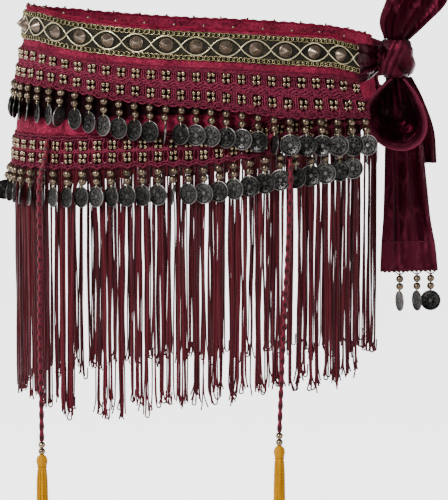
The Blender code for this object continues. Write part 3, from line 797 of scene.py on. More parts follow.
def strand_group() -> Tree:
    """Build the group that spins yarn or wire along every line of a mesh.

    Returns:
        The group.
    """
    tree, source = new_group("spin strands", (
        ("Radius", "NodeSocketFloat"), ("Sides", "NodeSocketInt"), ("Flatness", "NodeSocketFloat"),
        ("Twist", "NodeSocketFloat"), ("Wander", "NodeSocketFloat"), ("Wander Size", "NodeSocketFloat"),
        ("Seed", "NodeSocketInt"), ("Material", "NodeSocketMaterial"),
    ))
    take = source.outputs
    add = partial(add_node, tree)
    place = add("GeometryNodeInputPosition")
    inverse = add("ShaderNodeMath", {0: 1.0, 1: take["Wander Size"]}, operation="DIVIDE")
    noise = add(
        "ShaderNodeTexNoise",
        {"Vector": place.outputs[0], "W": take["Seed"], "Scale": inverse.outputs[0], "Detail": 2.0},
        noise_dimensions="4D",
    )
    half = (0.5, 0.5, 0.5)
    centred = add("ShaderNodeVectorMath", {0: noise.outputs["Color"], 1: half}, operation="SUBTRACT")
    shift = add("ShaderNodeVectorMath", {0: centred.outputs[0], "Scale": take["Wander"]}, operation="SCALE")
    free = add("GeometryNodeInputNamedAttribute", {"Name": "free"}, data_type="FLOAT")
    loosened = add("ShaderNodeVectorMath", {0: shift.outputs[0], "Scale": free.outputs[0]}, operation="SCALE")
    moved = add("GeometryNodeSetPosition", {"Geometry": take["Geometry"], "Offset": loosened.outputs[0]})
    lines = add("GeometryNodeMeshToCurve", {"Mesh": moved.outputs[0]})
    run = add("GeometryNodeSplineParameter")
    kept = add(
        "GeometryNodeStoreNamedAttribute",
        {"Geometry": lines.outputs[0], "Name": "run", "Value": run.outputs["Length"]}, data_type="FLOAT",
    )
    turns = add("ShaderNodeMath", {0: run.outputs["Length"], 1: take["Twist"]}, operation="DIVIDE")
    tilt = add("ShaderNodeMath", {0: turns.outputs[0], 1: TURN}, operation="MULTIPLY")
    wound = add("GeometryNodeSetCurveTilt", {"Curve": kept.outputs[0], "Tilt": tilt.outputs[0]})
    section = add("GeometryNodeCurvePrimitiveCircle", {"Resolution": take["Sides"], "Radius": take["Radius"]})
    flat = add("ShaderNodeCombineXYZ", {0: 1.0, 1: take["Flatness"], 2: 1.0})
    pressed = add("GeometryNodeTransform", {"Geometry": section.outputs[0], "Scale": flat.outputs[0]})
    around = add("GeometryNodeSplineParameter")
    marked = add(
        "GeometryNodeStoreNamedAttribute",
        {"Geometry": pressed.outputs[0], "Name": "around", "Value": around.outputs["Factor"]},
        data_type="FLOAT",
    )
    tube = add("GeometryNodeCurveToMesh", {
        "Curve": wound.outputs[0], "Profile Curve": marked.outputs[0], "Fill Caps": True,
    })
    soft = add("GeometryNodeSetShadeSmooth", {0: tube.outputs[0]})
    close_group(tree, soft.outputs[0], take["Material"])
    return tree


def scatter_group() -> Tree:
    """Build the group that sets one small part on every point of a mesh.

    Returns:
        The group.
    """
    tree, source = new_group("set parts", (("Part", "NodeSocketObject"), ("Material", "NodeSocketMaterial")))
    take = source.outputs
    add = partial(add_node, tree)
    part = add("GeometryNodeObjectInfo", {"Object": take["Part"]})
    turn = add("GeometryNodeInputNamedAttribute", {"Name": "turn"}, data_type="FLOAT_VECTOR")
    rotation = add("FunctionNodeEulerToRotation", {0: turn.outputs[0]})
    points = add("GeometryNodeMeshToPoints", {"Mesh": take["Geometry"]})
    spread = add("GeometryNodeInstanceOnPoints", {
        "Points": points.outputs[0], "Instance": part.outputs["Geometry"],
        "Rotation": rotation.outputs[0],
    })
    close_group(tree, spread.outputs[0], take["Material"])
    return tree


class Looms:
    """Holds the two node groups and runs them."""

    def __init__(self) -> None:
        """Build both groups."""
        self.strands = strand_group()
        self.parts = scatter_group()

    def run(self, piece: Piece, tree: Tree, values: dict[str, Any]) -> Piece:
        """Set a group's inputs on a piece and bake it.

        Args:
            piece: Source object.
            tree: Node group.
            values: Input name to value.

        Returns:
            The baked piece.
        """
        modifier = piece.modifiers.new("maker", "NODES")
        modifier.node_group = tree
        sockets = {item.name: item.identifier for item in tree.interface.items_tree if item.in_out == "INPUT"}
        for label, value in values.items():
            modifier[sockets[label]] = value
        return bake(piece)

    def spin(
        self, name: str, lines: Sequence[Array], yarn: Yarn, finish: Finish, free: Sequence[Array] = (),
    ) -> Piece:
        """Spin strands along lines of points.

        Args:
            name: Name of the piece.
            lines: Points of each line.
            yarn: Size and twist.
            finish: Finish of the strands.
            free: How freely each point may wander, from zero to one, where not all do.

        Returns:
            The strands as one mesh.
        """
        points = np.concatenate(lines)
        lengths = [len(line) for line in lines]
        last = set(np.cumsum(lengths) - 1)
        edges = [(k, k + 1) for k in range(len(points)) if k not in last]
        piece = mesh_piece(name, points, edges=edges)
        write_value(piece, "free", np.concatenate(free) if free else np.ones(len(points)))
        tones = np.random.default_rng(yarn.seed).beta(0.8, 0.9, len(lines))
        write_value(piece, "tone", np.repeat(tones, lengths))
        return self.run(piece, self.strands, {
            "Radius": yarn.radius, "Sides": yarn.sides, "Flatness": yarn.flatness, "Twist": yarn.twist,
            "Wander": yarn.wander, "Wander Size": yarn.wander_size, "Seed": yarn.seed,
            "Material": WARDROBE.of(finish),
        })

    def scatter(
        self, name: str, part: Piece, places: Array, turns: Array | None, finish: Finish, seed: int = 1,
    ) -> Piece:
        """Set one part on many points.

        Args:
            name: Name of the piece.
            part: The part, at the origin. It is used up.
            places: Points.
            turns: Euler angles of each part, or none.
            finish: Finish of the parts.
            seed: Seed of each part's tone, from dark to worn bright.

        Returns:
            The parts as one mesh.
        """
        piece = mesh_piece(name, places)
        write_value(piece, "turn", np.zeros((len(places), 3)) if turns is None else turns, "FLOAT_VECTOR")
        write_value(piece, "tone", np.random.default_rng(seed).beta(0.8, 1.5, len(places)))
        self.run(piece, self.parts, {"Part": part, "Material": WARDROBE.of(finish)})
        bpy.data.objects.remove(part)
        return piece


LOOMS = Looms()


def turned_part(name: str, profile: Sequence[tuple[float, float]], sides: int) -> Piece:
    """Turn a profile about the upright axis.

    Args:
        name: Name of the part.
        profile: Radius and height from the foot to the tip, both ends on the axis.
        sides: Number of sides.

    Returns:
        The turned part at the origin, as one closed mesh.
    """
    inner = list(profile[1:-1])
    angles = np.linspace(0.0, TURN, sides, endpoint=False)
    rings = [
        np.stack((radius * np.cos(angles), radius * np.sin(angles), np.full(sides, height)), axis=1)
        for radius, height in inner
    ]
    points = np.concatenate((*rings, [[0.0, 0.0, profile[0][1]], [0.0, 0.0, profile[-1][1]]]))
    faces = grid_faces(len(inner), sides, wrap=True)
    foot, tip = len(points) - 2, len(points) - 1
    last = (len(inner) - 1) * sides
    for k in range(sides):
        after = (k + 1) % sides
        faces.append((foot, after, k))
        faces.append((tip, last + k, last + after))
    return mesh_piece(name, points, faces)


def bead_part(name: str, radius: float, squash: float, steps: int, sides: int) -> Piece:
    """Turn a round bead.

    Args:
        name: Name of the part.
        radius: Its radius.
        squash: Its height as a share of its width.
        steps: Number of points of its profile.
        sides: Number of sides.

    Returns:
        The bead at the origin.
    """
    angles = np.linspace(0.0, np.pi, steps)
    return turned_part(name, [(radius * math.sin(a), -radius * squash * math.cos(a)) for a in angles], sides)


# The form that every piece follows


@dataclass(frozen=True)
class HipForm:
    """The hips' section and the heights of the scarf round them, as the CAD has them."""

    half_width: float = 0.169
    half_depth: float = 0.115
    power: float = 2.5
    flare: float = 0.10
    front_turn: float = 54.0
    back_turn: float = -255.0
    columns: int = 60
    # points of the section that its length is walked on
    steps: int = 1237
    # turn, top of the band, edge of the upper net, edge of the lower net, push, fringe end
    heights: tuple[tuple[float, ...], ...] = (
        (54.0, 0.006, -0.063, -0.083, 0.0080, -0.306),
        (40.0, 0.013, -0.062, -0.086, 0.0075, -0.313),
        (20.0, 0.016, -0.060, -0.092, 0.0045, -0.312),
        (0.0, 0.020, -0.051, -0.104, 0.0010, -0.326),
        (-20.0, 0.024, -0.045, -0.107, 0.0005, -0.338),
        (-40.0, 0.029, -0.036, -0.110, 0.0, -0.342),
        (-60.0, 0.036, -0.033, -0.111, 0.0, -0.329),
        (-90.0, 0.037, -0.032, -0.112, 0.0, -0.329),
        (-135.0, 0.030, -0.038, -0.110, 0.0, -0.336),
        (-180.0, 0.020, -0.048, -0.104, 0.0010, -0.330),
        (-225.0, 0.013, -0.058, -0.092, 0.0045, -0.316),
        (-255.0, 0.006, -0.063, -0.084, 0.0075, -0.306),
    )

    def section(self, turns: Any) -> tuple[Array, Array]:
        """Follow the section at turns in degrees.

        Args:
            turns: Turns in degrees, in any shape.

        Returns:
            The section's points and outward directions.
        """
        sine, cosine = np.sin(np.radians(turns)), np.cos(np.radians(turns))
        x = self.half_width * np.sign(sine) * np.abs(sine) ** (2 / self.power)
        y = -self.half_depth * np.sign(cosine) * np.abs(cosine) ** (2 / self.power)
        slope = self.power - 1
        outward = grid(
            np.sign(x) * np.abs(x / self.half_width) ** slope / self.half_width,
            np.sign(y) * np.abs(y / self.half_depth) ** slope / self.half_depth, 0.0,
        )
        return grid(x, y, 0.0), unit(outward)

    @cached_property
    def walk(self) -> tuple[Array, Array]:
        """Turns along the scarf and the length walked to each."""
        turns = np.linspace(self.front_turn, self.back_turn, self.steps)
        return turns, walked(self.section(turns)[0])

    @property
    def girth(self) -> float:
        """Length of the scarf round the hips."""
        return float(self.walk[1][-1])

    def turn(self, stations: Any) -> Array:
        """Turn in degrees at stations."""
        turns, run = self.walk
        return np.interp(np.asarray(stations, dtype=float) * self.girth, run, turns)

    def height(self, stations: Any, column: int) -> Array:
        """One column of the height table at stations."""
        table = np.array(self.heights)
        return np.interp(-self.turn(stations), -table[:, 0], table[:, column])

    def band_top(self, stations: Any) -> Array:
        """Top of the waist band."""
        return self.height(stations, 1)

    def upper_edge(self, stations: Any) -> Array:
        """Lower edge of the upper net."""
        return self.height(stations, 2)

    def lower_edge(self, stations: Any) -> Array:
        """Lower edge of the lower net."""
        return self.height(stations, 3)

    def push(self, stations: Any) -> Array:
        """How far the upper net is pushed out by what lies under it."""
        return self.height(stations, 4)

    def place(self, stations: Any, z: Any, out: Any, flare_z: Any = None) -> Array:
        """Find points at stations, heights and distances out from the hips.

        Args:
            stations: Stations along the scarf.
            z: Heights.
            out: Distances out from the hips.
            flare_z: Heights that set the flare where a piece hangs plumb.

        Returns:
            The points, with the shape that the three make together.
        """
        s, z, out = np.broadcast_arrays(np.asarray(stations, float), z, out)
        level = z if flare_z is None else np.broadcast_to(flare_z, s.shape)
        base, outward = self.section(self.turn(s))
        points = base + outward * (out - self.flare * level)[..., None]
        points[..., 2] = z
        return points

    def heading(self, stations: Any) -> Array:
        """Angle about +Z that turns a part's -Y side outward."""
        outward = self.section(self.turn(stations))[1]
        return np.arctan2(outward[..., 0], -outward[..., 1])

    def between(self, start: int, end: int, per_column: int) -> Array:
        """Evenly spaced stations from one column to another."""
        return np.linspace(start, end, (end - start) * per_column + 1) / self.columns


HIPS = HipForm()
BAND_HEIGHT = 0.039
BAND_THICK = 0.0022
YOKE_THICK = 0.0014
LOWER_NET_HEIGHT = 0.030
# how far the upper net and its chain stand off the yoke at their foot
NET_GAP = 0.0003
NET_FLARE = 0.0020


def yoke_edge(stations: Any) -> Array:
    """Lower edge of the velvet yoke."""
    return HIPS.lower_edge(stations) + LOWER_NET_HEIGHT


def bell(value: Any, middle: Any, width: Any) -> Array:
    """Rise to one at a middle and fall off on both sides."""
    return np.exp(-(((value - middle) / width) ** 2))


def ramp(value: Any) -> Array:
    """Cut a value off below zero and above one."""
    return np.clip(value, 0, 1)


@dataclass
class Yoke:
    """Velvet yoke, doubled over the waist band, with a rouleau and picot beads along its top."""

    columns: int = 420
    rows: int = 40
    # softness of the step where the doubled band ends, and of the rounded edges
    step: float = 0.0007
    rounding: float = 0.0006
    ripple: float = 0.00035
    piping_radius: float = 0.0015
    picot_step: int = 2

    def cloth(self) -> Piece:
        """Build the velvet as one closed shell, rippled under the band, with painted shade under the net.

        Returns:
            The velvet.
        """
        s = np.linspace(0.0, 1.0, self.columns)[None, :]
        top, bottom = HIPS.band_top(s), yoke_edge(s)
        share = np.linspace(0.0, 1.0, self.rows)[:, None]
        z = top + share * (bottom - top)
        drop = top - z
        doubled = 1 / (1 + np.exp((drop - BAND_HEIGHT) / self.step))
        gather = 0.5 * np.sin(s * 310 + 3 * np.sin(s * 41)) + 0.5 * np.sin(s * 173 + share * 2)
        ripple = self.ripple * gather * ramp((drop - 0.030) / 0.010) * (1 - doubled * 0.4)
        thick = YOKE_THICK + (BAND_THICK - YOKE_THICK) * doubled
        rounding = self.rounding * np.exp(-np.minimum(drop, z - bottom) / 0.0008)
        # painted shade on the velvet behind the upper coins, from the upper net's edge down to the strip
        # above the lower net
        under = ramp((HIPS.upper_edge(s) + 0.004 - z) / 0.003) * ramp((z - bottom - 0.0145) / 0.002)
        piece = cloth_shell(
            "velvet_cloth", HIPS.place(s, z, thick - np.abs(ripple) - rounding),
            HIPS.place(s, z, 0.0001 + rounding * 0.5), grid(s * HIPS.girth, drop), deep=under,
        )
        return wear(piece, ["velvet_yoke"], VELVET)

    def piping(self) -> Piece:
        """Build the rouleau along the top edge.

        Returns:
            The rouleau.
        """
        s = np.linspace(0.0005, 0.9995, 700)
        wobble = 0.0003 * np.sin(s * 520) + 0.0002 * np.sin(s * 233)
        line = HIPS.place(s, HIPS.band_top(s) + 0.0004 + wobble, 0.0012)
        yarn = Yarn(self.piping_radius, 10, 0.9, 0.02)
        return wear(LOOMS.spin("top_rouleau", [line], yarn, PIPING))

    def picots(self) -> Piece:
        """Set tiny beads along the rouleau.

        Returns:
            The beads.
        """
        s = (np.arange(HIPS.columns // self.picot_step) + 0.5) * self.picot_step / HIPS.columns
        profile = [(0, -0.0012), (0.0008, -0.0009), (0.0012, 0), (0.0008, 0.0009), (0, 0.0012)]
        part = turned_part("picot_bead", profile, 8)
        places = HIPS.place(s, HIPS.band_top(s) + 0.0024, 0.0014)
        return wear(LOOMS.scatter("picot_beads", part, places, None, SMALL_BRASS))

    def hem(self) -> Piece:
        """Lay two rows of stitches where the doubled band ends.

        Returns:
            The stitches.
        """
        s = np.linspace(0.001, 0.999, 900)
        lines = [
            HIPS.place(s, HIPS.band_top(s) - BAND_HEIGHT + lift + 0.0003 * np.sin(s * 700), 0.0024)
            for lift in (0.0012, 0.0034)
        ]
        return wear(LOOMS.spin("band_cording", lines, HEM_YARN, CROCHET_YARN))

    def declare(self) -> None:
        s = np.linspace(0, 1, 200)
        area = float(np.mean(HIPS.band_top(s) - yoke_edge(s))) * HIPS.girth
        round(HIPS.girth, 3)


HEM_YARN = Yarn(0.0006, 5, 0.8, 0.003)


@dataclass
class MetalBraid:
    """Wire braid: dark ground, pointed eyes of wire, scroll borders and spun studs."""

    drop: float = 0.003
    height: float = 0.026
    back: float = BAND_THICK + 0.0003
    eye_half: float = 0.0082
    stud_radius: float = 0.0062
    wire_radius: float = 0.00062
    # scroll curls in a column, and how far each swings along, up and out
    curls: int = 3
    curl_along: float = 2.6
    curl_up: float = 0.0018
    curl_out: float = 0.0005

    def middle(self, s: Any) -> Array:
        """Height of the braid's middle line."""
        return HIPS.band_top(s) - self.drop - self.height / 2

    def ground(self) -> Piece:
        """Build the woven ground strip.

        Returns:
            The strip.
        """
        s = np.linspace(0.0, 1.0, 420)[None, :]
        share = np.linspace(-1.0, 1.0, 9)[:, None]
        z = self.middle(s) - share * self.height / 2
        rounding = 0.0004 * np.abs(share) ** 6
        piece = cloth_shell(
            "braid_ground", HIPS.place(s, z, self.back + 0.0009 - rounding),
            HIPS.place(s, z, self.back + rounding * 0.4), grid(s * HIPS.girth, z - self.middle(s)),
        )
        return wear(piece, ["metal_braid"], GROUND)

    def eyes(self) -> Piece:
        """Lay the two wires that cross between the studs.

        Returns:
            The wires.
        """
        s = np.linspace(0.0, 1.0, HIPS.columns // 2 * 26 + 1)
        phase = (s * HIPS.columns - 0.5) * np.pi / 2
        swing = np.sign(np.sin(phase)) * np.abs(np.sin(phase)) ** 0.8
        over = 0.00045 * np.cos(phase) * np.where(np.floor(phase / np.pi) % 2 == 0, 1, -1)
        lines = [
            HIPS.place(s, self.middle(s) + sign * self.eye_half * swing, self.back + 0.0019 + sign * over)
            for sign in (1, -1)
        ]
        return wear(LOOMS.spin("eye_wires", lines, Yarn(self.wire_radius, 8, 0.9, 0.05), WIRE))

    def scrolls(self) -> Piece:
        """Lay the curled border wires along both edges.

        Returns:
            The wires.
        """
        loops = HIPS.columns * self.curls
        t = np.linspace(0.0, 1.0, loops * 12 + 1)
        phase = t * loops * TURN
        s = ramp(t - self.curl_along / loops / TURN * np.sin(phase))
        lines = []
        for sign in (1, -1):
            z = self.middle(t) + sign * (self.height / 2 - 0.0026 + self.curl_up * np.cos(phase))
            lines.append(HIPS.place(s, z, self.back + 0.0016 + self.curl_out * np.sin(phase)))
            edge = self.middle(t) + sign * (self.height / 2 - 0.0004 + 0.0004 * np.cos(phase / 2))
            lines.append(HIPS.place(t[::4], edge[::4], self.back + 0.0012))
        yarn = Yarn(self.wire_radius * 0.62, 5, 0.9, 0.05)
        return wear(LOOMS.spin("scroll_wires", lines, yarn, SCROLL_WIRE))

    def studs(self) -> Piece:
        """Set the domed and pointed studs.

        Returns:
            The studs.
        """
        # share of the radius, and height, from the foot to the point
        profile = (
            (0, 0.0), (1.0, 0.0), (1.02, 0.0005), (0.98, 0.0011), (0.88, 0.0013), (0.84, 0.0017),
            (0.62, 0.0032), (0.42, 0.0045), (0.22, 0.0056), (0.10, 0.0064), (0, 0.0067),
        )
        part = turned_part("stud", [(self.stud_radius * share, height) for share, height in profile], 20)
        s = (np.arange(1, HIPS.columns, 2) + 0.5) / HIPS.columns
        places = HIPS.place(s, self.middle(s), self.back + 0.0008)
        turns = grid(np.pi / 2, 0.0, HIPS.heading(s))
        return wear(LOOMS.scatter("studs", part, places, turns, PEWTER))

    def build(self) -> list[Piece]:
        """Build the braid's pieces."""
        return [self.ground(), self.eyes(), self.scrolls(), self.studs()]


def cluster_beads(name: str, s: Array, z: Array, out: Array) -> Piece:
    """Set beads two by two at the places of a row of clusters.

    Args:
        name: Name of the piece.
        s: Stations of the clusters.
        z: Heights of their middles.
        out: Distances out of their middles.

    Returns:
        All the beads as one mesh.
    """
    radius, gap = 0.0020, 0.0040
    # shares of the radius, from foot to tip
    profile = ((0, -1.20), (0.42, -1.14), (0.82, -0.74), (1.0, 0.0), (0.82, 0.74), (0.42, 1.14), (0, 1.20))
    part = turned_part("small_bead", [(radius * wide, radius * high) for wide, high in profile], 9)
    spots, turns = [], []
    rng = np.random.default_rng(11)
    for across in (-0.5, 0.5):
        for up in (-0.5, 0.5):
            jitter = rng.normal(0.0, 0.00022, (len(s), 2))
            station = s + (across * gap + jitter[:, 0]) / HIPS.girth
            spots.append(HIPS.place(station, z + up * gap * 1.22 + jitter[:, 1], out, z))
            tip, roll = rng.normal(0, 0.12, len(s)), rng.normal(0, 0.12, len(s))
            turns.append(grid(tip, roll, HIPS.heading(station)))
    piece = LOOMS.scatter(name, part, np.concatenate(spots), np.concatenate(turns), SMALL_BRASS)
    return wear(piece)


@dataclass
class UpperNet:
    """Upper crochet: ground of stitches, waved shells and two rows of bead clusters."""

    start: int
    end: int
    side: str
    # heights in shares of the net's height from its top
    row_shares: tuple[float, float] = (0.14, 0.68)
    # share, wave height, phase and lift of each chain
    chains: tuple[tuple[float, ...], ...] = (
        (-0.04, 0.0003, 0.0, 0.0014), (0.00, 0.0007, 0.0, 0.0018), (0.33, 0.0017, 0.0, 0.0019),
        (0.40, 0.0019, 0.5, 0.0021), (0.47, 0.0017, 0.9, 0.0019), (0.88, 0.0018, 0.0, 0.0017),
        (0.94, 0.0020, 0.4, 0.0019), (1.00, 0.0012, np.pi, 0.0017),
    )
    # from and to of the slanting stitches, and of the posts between the clusters
    slants: tuple[tuple[float, float], ...] = ((0.20, 0.36), (0.76, 0.92))
    posts: tuple[tuple[float, float], ...] = ((0.0, 0.34), (0.48, 0.90))

    def top(self, s: Any) -> Array:
        """Upper edge of the crochet."""
        return HIPS.band_top(s) - BAND_HEIGHT - NET_GAP

    def level(self, s: Any, share: Any) -> Array:
        """Height at a share of the net's height from its top."""
        return self.top(s) + share * (HIPS.upper_edge(s) - self.top(s))

    def out(self, s: Any, share: Any) -> Array:
        """Distance out of the net's back."""
        return YOKE_THICK + NET_GAP + share * (NET_FLARE + HIPS.push(s))

    def clusters(self) -> Array:
        """Stations of the bead clusters."""
        return (np.arange(self.start, self.end) + 0.5) / HIPS.columns

    def ground(self) -> Piece:
        """Build the crocheted ground, sunk behind each cluster, with painted shade round the rows of
        clusters.

        Returns:
            The ground.
        """
        s = HIPS.between(self.start, self.end, 12)[None, :]
        share = np.linspace(0.0, 1.0, 34)[:, None]
        column = s * HIPS.columns
        z = self.level(s, share) + 0.0022 * np.abs(np.sin(column * np.pi)) * ramp((share - 0.85) / 0.15)
        across = np.cos((column - 0.5) * TURN)
        # dark is painted shade round each row of clusters, deepest at the clusters; it also thins the ground
        # there
        sunk, dark = np.zeros_like(z), np.zeros_like(z)
        for row in self.row_shares:
            sunk = np.maximum(sunk, bell(share, row, 0.10) * ramp(across * 1.4 - 0.1))
            near = ramp((0.145 + 0.035 * across - np.abs(share - row)) / 0.03)
            dark = np.maximum(dark, near * (0.45 + 0.55 * ramp(across * 1.6 + 0.5)))
        wave = 0.0005 * np.sin(share * 30 + 2.2 * np.cos(column * TURN))
        thick = 0.0015 - 0.0011 * np.maximum(sunk, dark) + wave * (1 - dark)
        out = self.out(s, share)
        piece = cloth_shell(
            "upper_crochet_" + self.side, HIPS.place(s, z, out + thick), HIPS.place(s, z, out),
            grid(s * HIPS.girth, share * 0.031), deep=dark,
        )
        return wear(piece, ["upper_net_" + self.side], CROCHET_GROUND)

    def yarns(self) -> Piece:
        """Lay the chains, the waved shells, the slanting stitches and the posts.

        Returns:
            The yarns.
        """
        s = HIPS.between(self.start, self.end, 16)
        wave = s * HIPS.columns * TURN
        rng = np.random.default_rng(5 + self.start)
        lines = []
        for share, swing, phase, lift in self.chains:
            rough = np.convolve(rng.normal(0, 0.0009, len(s) + 6), np.ones(7) / 7, "valid")
            z = self.level(s, share) + swing * np.cos(wave + phase) + rough
            lines.append(HIPS.place(s, z, self.out(s, share) + lift + rough * 0.4, self.level(s, share)))
        for station in self.clusters():
            for lean in (-0.42, 0.42):
                for low, high in self.slants:
                    run = np.linspace(0.0, 1.0, 5)
                    lines.append(self.stitch(station, lean * run, low + (high - low) * run, 0.0019))
            for low, high in self.posts:
                run = np.linspace(0.0, 1.0, 6)
                bow = np.sin(run * np.pi) / 3
                for lean in (0.36, 0.48, 0.60):
                    if station * HIPS.columns + lean < self.end:
                        off = lean + bow * (lean - 0.48)
                        lines.append(self.stitch(station, off, low + (high - low) * run, 0.0013))
        yarn = Yarn(0.00095, 6, 0.7, 0.012)
        return wear(LOOMS.spin("upper_yarns_" + self.side, lines, yarn, CROCHET_YARN))

    def stitch(self, station: float, off: Array, share: Array, lift: float) -> Array:
        """Find the points of a short stitch.

        Args:
            station: Station of its cluster.
            off: Distances from there, in columns.
            share: Shares of the net's height.
            lift: Distance out of the net's back.

        Returns:
            The points.
        """
        s = station + off / HIPS.columns
        return HIPS.place(s, self.level(s, share), self.out(s, share) + lift)

    def beads(self) -> Piece:
        """Set both rows of clusters.

        Returns:
            The beads.
        """
        s = np.tile(self.clusters(), len(self.row_shares))
        share = np.repeat(self.row_shares, self.end - self.start)
        name = "upper_clusters_" + self.side
        return cluster_beads(name, s, self.level(s, share), self.out(s, share) + 0.0024)

    def build(self) -> list[Piece]:
        """Build this length of the upper net."""
        return [self.ground(), self.yarns(), self.beads()]


@dataclass
class LowerNet:
    """Lower crochet: open between its clusters, with chains above, between and below them."""

    start: int
    end: int
    side: str
    # everything is measured down from the yoke's edge
    drops: tuple[float, ...] = (0.0, 0.0045, 0.0130, 0.0160, 0.0245, 0.0300)
    # drop, wave height and lift of each chain
    chains: tuple[tuple[float, float, float], ...] = (
        (0.0002, 0.0004, 0.0018), (0.0032, 0.0006, 0.0019), (0.0138, 0.0008, 0.0020),
        (0.0155, 0.0010, 0.0020), (0.0262, 0.0010, 0.0018), (0.0288, 0.0016, 0.0019),
    )
    window_sides: tuple[tuple[float, float], ...] = ((0.0036, 0.0140), (0.0150, 0.0262))
    windows: tuple[tuple[float, float], ...] = ((0.0046, 0.0128), (0.0162, 0.0244))
    # where each web thread starts and ends, in shares of a column
    threads: tuple[tuple[float, float], ...] = (
        (0.30, 0.70), (0.70, 0.30), (0.35, 0.37), (0.43, 0.42), (0.5, 0.5), (0.57, 0.58), (0.65, 0.63),
    )
    cluster_drops: tuple[float, float] = (0.00875, 0.02025)

    def posts(self) -> Array:
        """Stations of the upright posts."""
        return np.arange(self.start, self.end + 1) / HIPS.columns

    def ground(self) -> Piece:
        """Build the rounded web round the open windows, with painted shade on it between its top and bottom
        edges.

        Returns:
            The web.
        """
        run = [self.start]
        for column in range(self.start, self.end):
            run += [column + 0.33, column + 0.67]
        s = np.array(run + [self.end])[None, :] / HIPS.columns
        drop = np.array(self.drops)[:, None]
        z = yoke_edge(s) - NET_GAP - drop
        rows, wide = len(self.drops) - 1, s.shape[1]
        count = z.size

        def solid(row: int, column: int) -> bool:
            """Tell whether a cell is crocheted."""
            inside = 0 <= row < rows and 0 <= column < wide - 1
            return inside and not (row in (1, 3) and column % 2 == 1)

        faces = []
        for row, column in np.ndindex(rows, wide - 1):
            if not solid(row, column):
                continue
            a = row * wide + column
            ring = (a, a + 1, a + 1 + wide, a + wide)
            faces += [tuple(reversed(ring)), tuple(corner + count for corner in ring)]
            steps = ((row - 1, column), (row, column + 1), (row + 1, column), (row, column - 1))
            for p, q, neighbour in zip(ring, ring[1:] + ring[:1], steps):
                if not solid(*neighbour):
                    faces.append((q + count, p + count, p, q))
        points = np.stack((HIPS.place(s, z, 0.0015), HIPS.place(s, z, 0.0003)))
        piece = mesh_piece("lower_crochet_" + self.side, points, faces)
        flat = grid(s * HIPS.girth, -drop)
        write_uv(piece, np.stack((flat, flat)))
        # painted shade on every row of the web but the top and bottom edges
        rim = np.zeros(z.shape)
        rim[1:-1] = 1.0
        write_value(piece, "deep", np.stack((rim, rim)))
        rounded = piece.modifiers.new("round", "SUBSURF")
        rounded.levels = 2
        rounded.render_levels = 2
        return wear(bake(piece), ["lower_net_" + self.side], CROCHET_GROUND)

    def yarns(self) -> Piece:
        """Lay chains along the rows, round the windows and along the scallops.

        Returns:
            The yarns.
        """
        s = HIPS.between(self.start, self.end, 14)
        wave = np.cos(s * HIPS.columns * TURN)
        lines = [HIPS.place(s, yoke_edge(s) - drop - swing * wave, lift) for drop, swing, lift in self.chains]
        run = np.linspace(0.0, 1.0, 6)
        bow = 0.0016 * (1 - np.sin(run * np.pi))
        for station in self.posts()[1:-1]:
            for lean in (-1, 1):
                for low, high in self.window_sides:
                    for reach in (0.0016, 0.0044):
                        spot = station + lean * (reach + bow) / HIPS.girth
                        z = yoke_edge(spot) - low - (high - low) * run
                        lines.append(HIPS.place(spot, z, 0.0015))
        yarn = Yarn(0.0009, 6, 0.7, 0.012)
        return wear(LOOMS.spin("lower_yarns_" + self.side, lines, yarn, CROCHET_YARN))

    def web(self) -> Piece:
        """Cross threads in the open windows, dark as painted shade; the close upright ones fill each window
        with painted shade.

        Returns:
            The threads.
        """
        lines = []
        share = np.linspace(0, 1, 4)
        for column in range(self.start, self.end):
            for low, high in self.windows:
                for near, far in self.threads:
                    spot = (column + near + (far - near) * share) / HIPS.columns
                    lines.append(HIPS.place(spot, yoke_edge(spot) - low - (high - low) * share, 0.0008))
        yarn = Yarn(0.0008, 5, 0.8, 0.05)
        return wear(LOOMS.spin("lower_web_" + self.side, lines, yarn, WEB_YARN))

    def beads(self) -> Piece:
        """Set both rows of clusters, from the first post to short of the last.

        Returns:
            The beads.
        """
        posts = self.posts()[1:] if self.start else self.posts()[1:-1]
        posts = posts[posts < 0.995]
        s = np.tile(posts, 2)
        z = yoke_edge(s) - np.repeat(self.cluster_drops, len(posts))
        return cluster_beads("lower_clusters_" + self.side, s, z, np.full(len(s), 0.0027))

    def build(self) -> list[Piece]:
        """Build this length of the lower net."""
        return [self.ground(), self.yarns(), self.web(), self.beads()]


# degrees that each coin is turned from the hips, over and over; the steep ones hang edge-on
COIN_TURNS = (27, 31, 25, 34, 28, 24, 84, 30, 26, 33, 29, 25, 35, 80)
CALM_TURN = 26.0
EDGE_ON_TURN = 60
# columns where a cord or the body's side calls for calm coins
CORD_COLUMNS = (5.5, 21.5)
SIDE_COLUMNS = (27.5,)


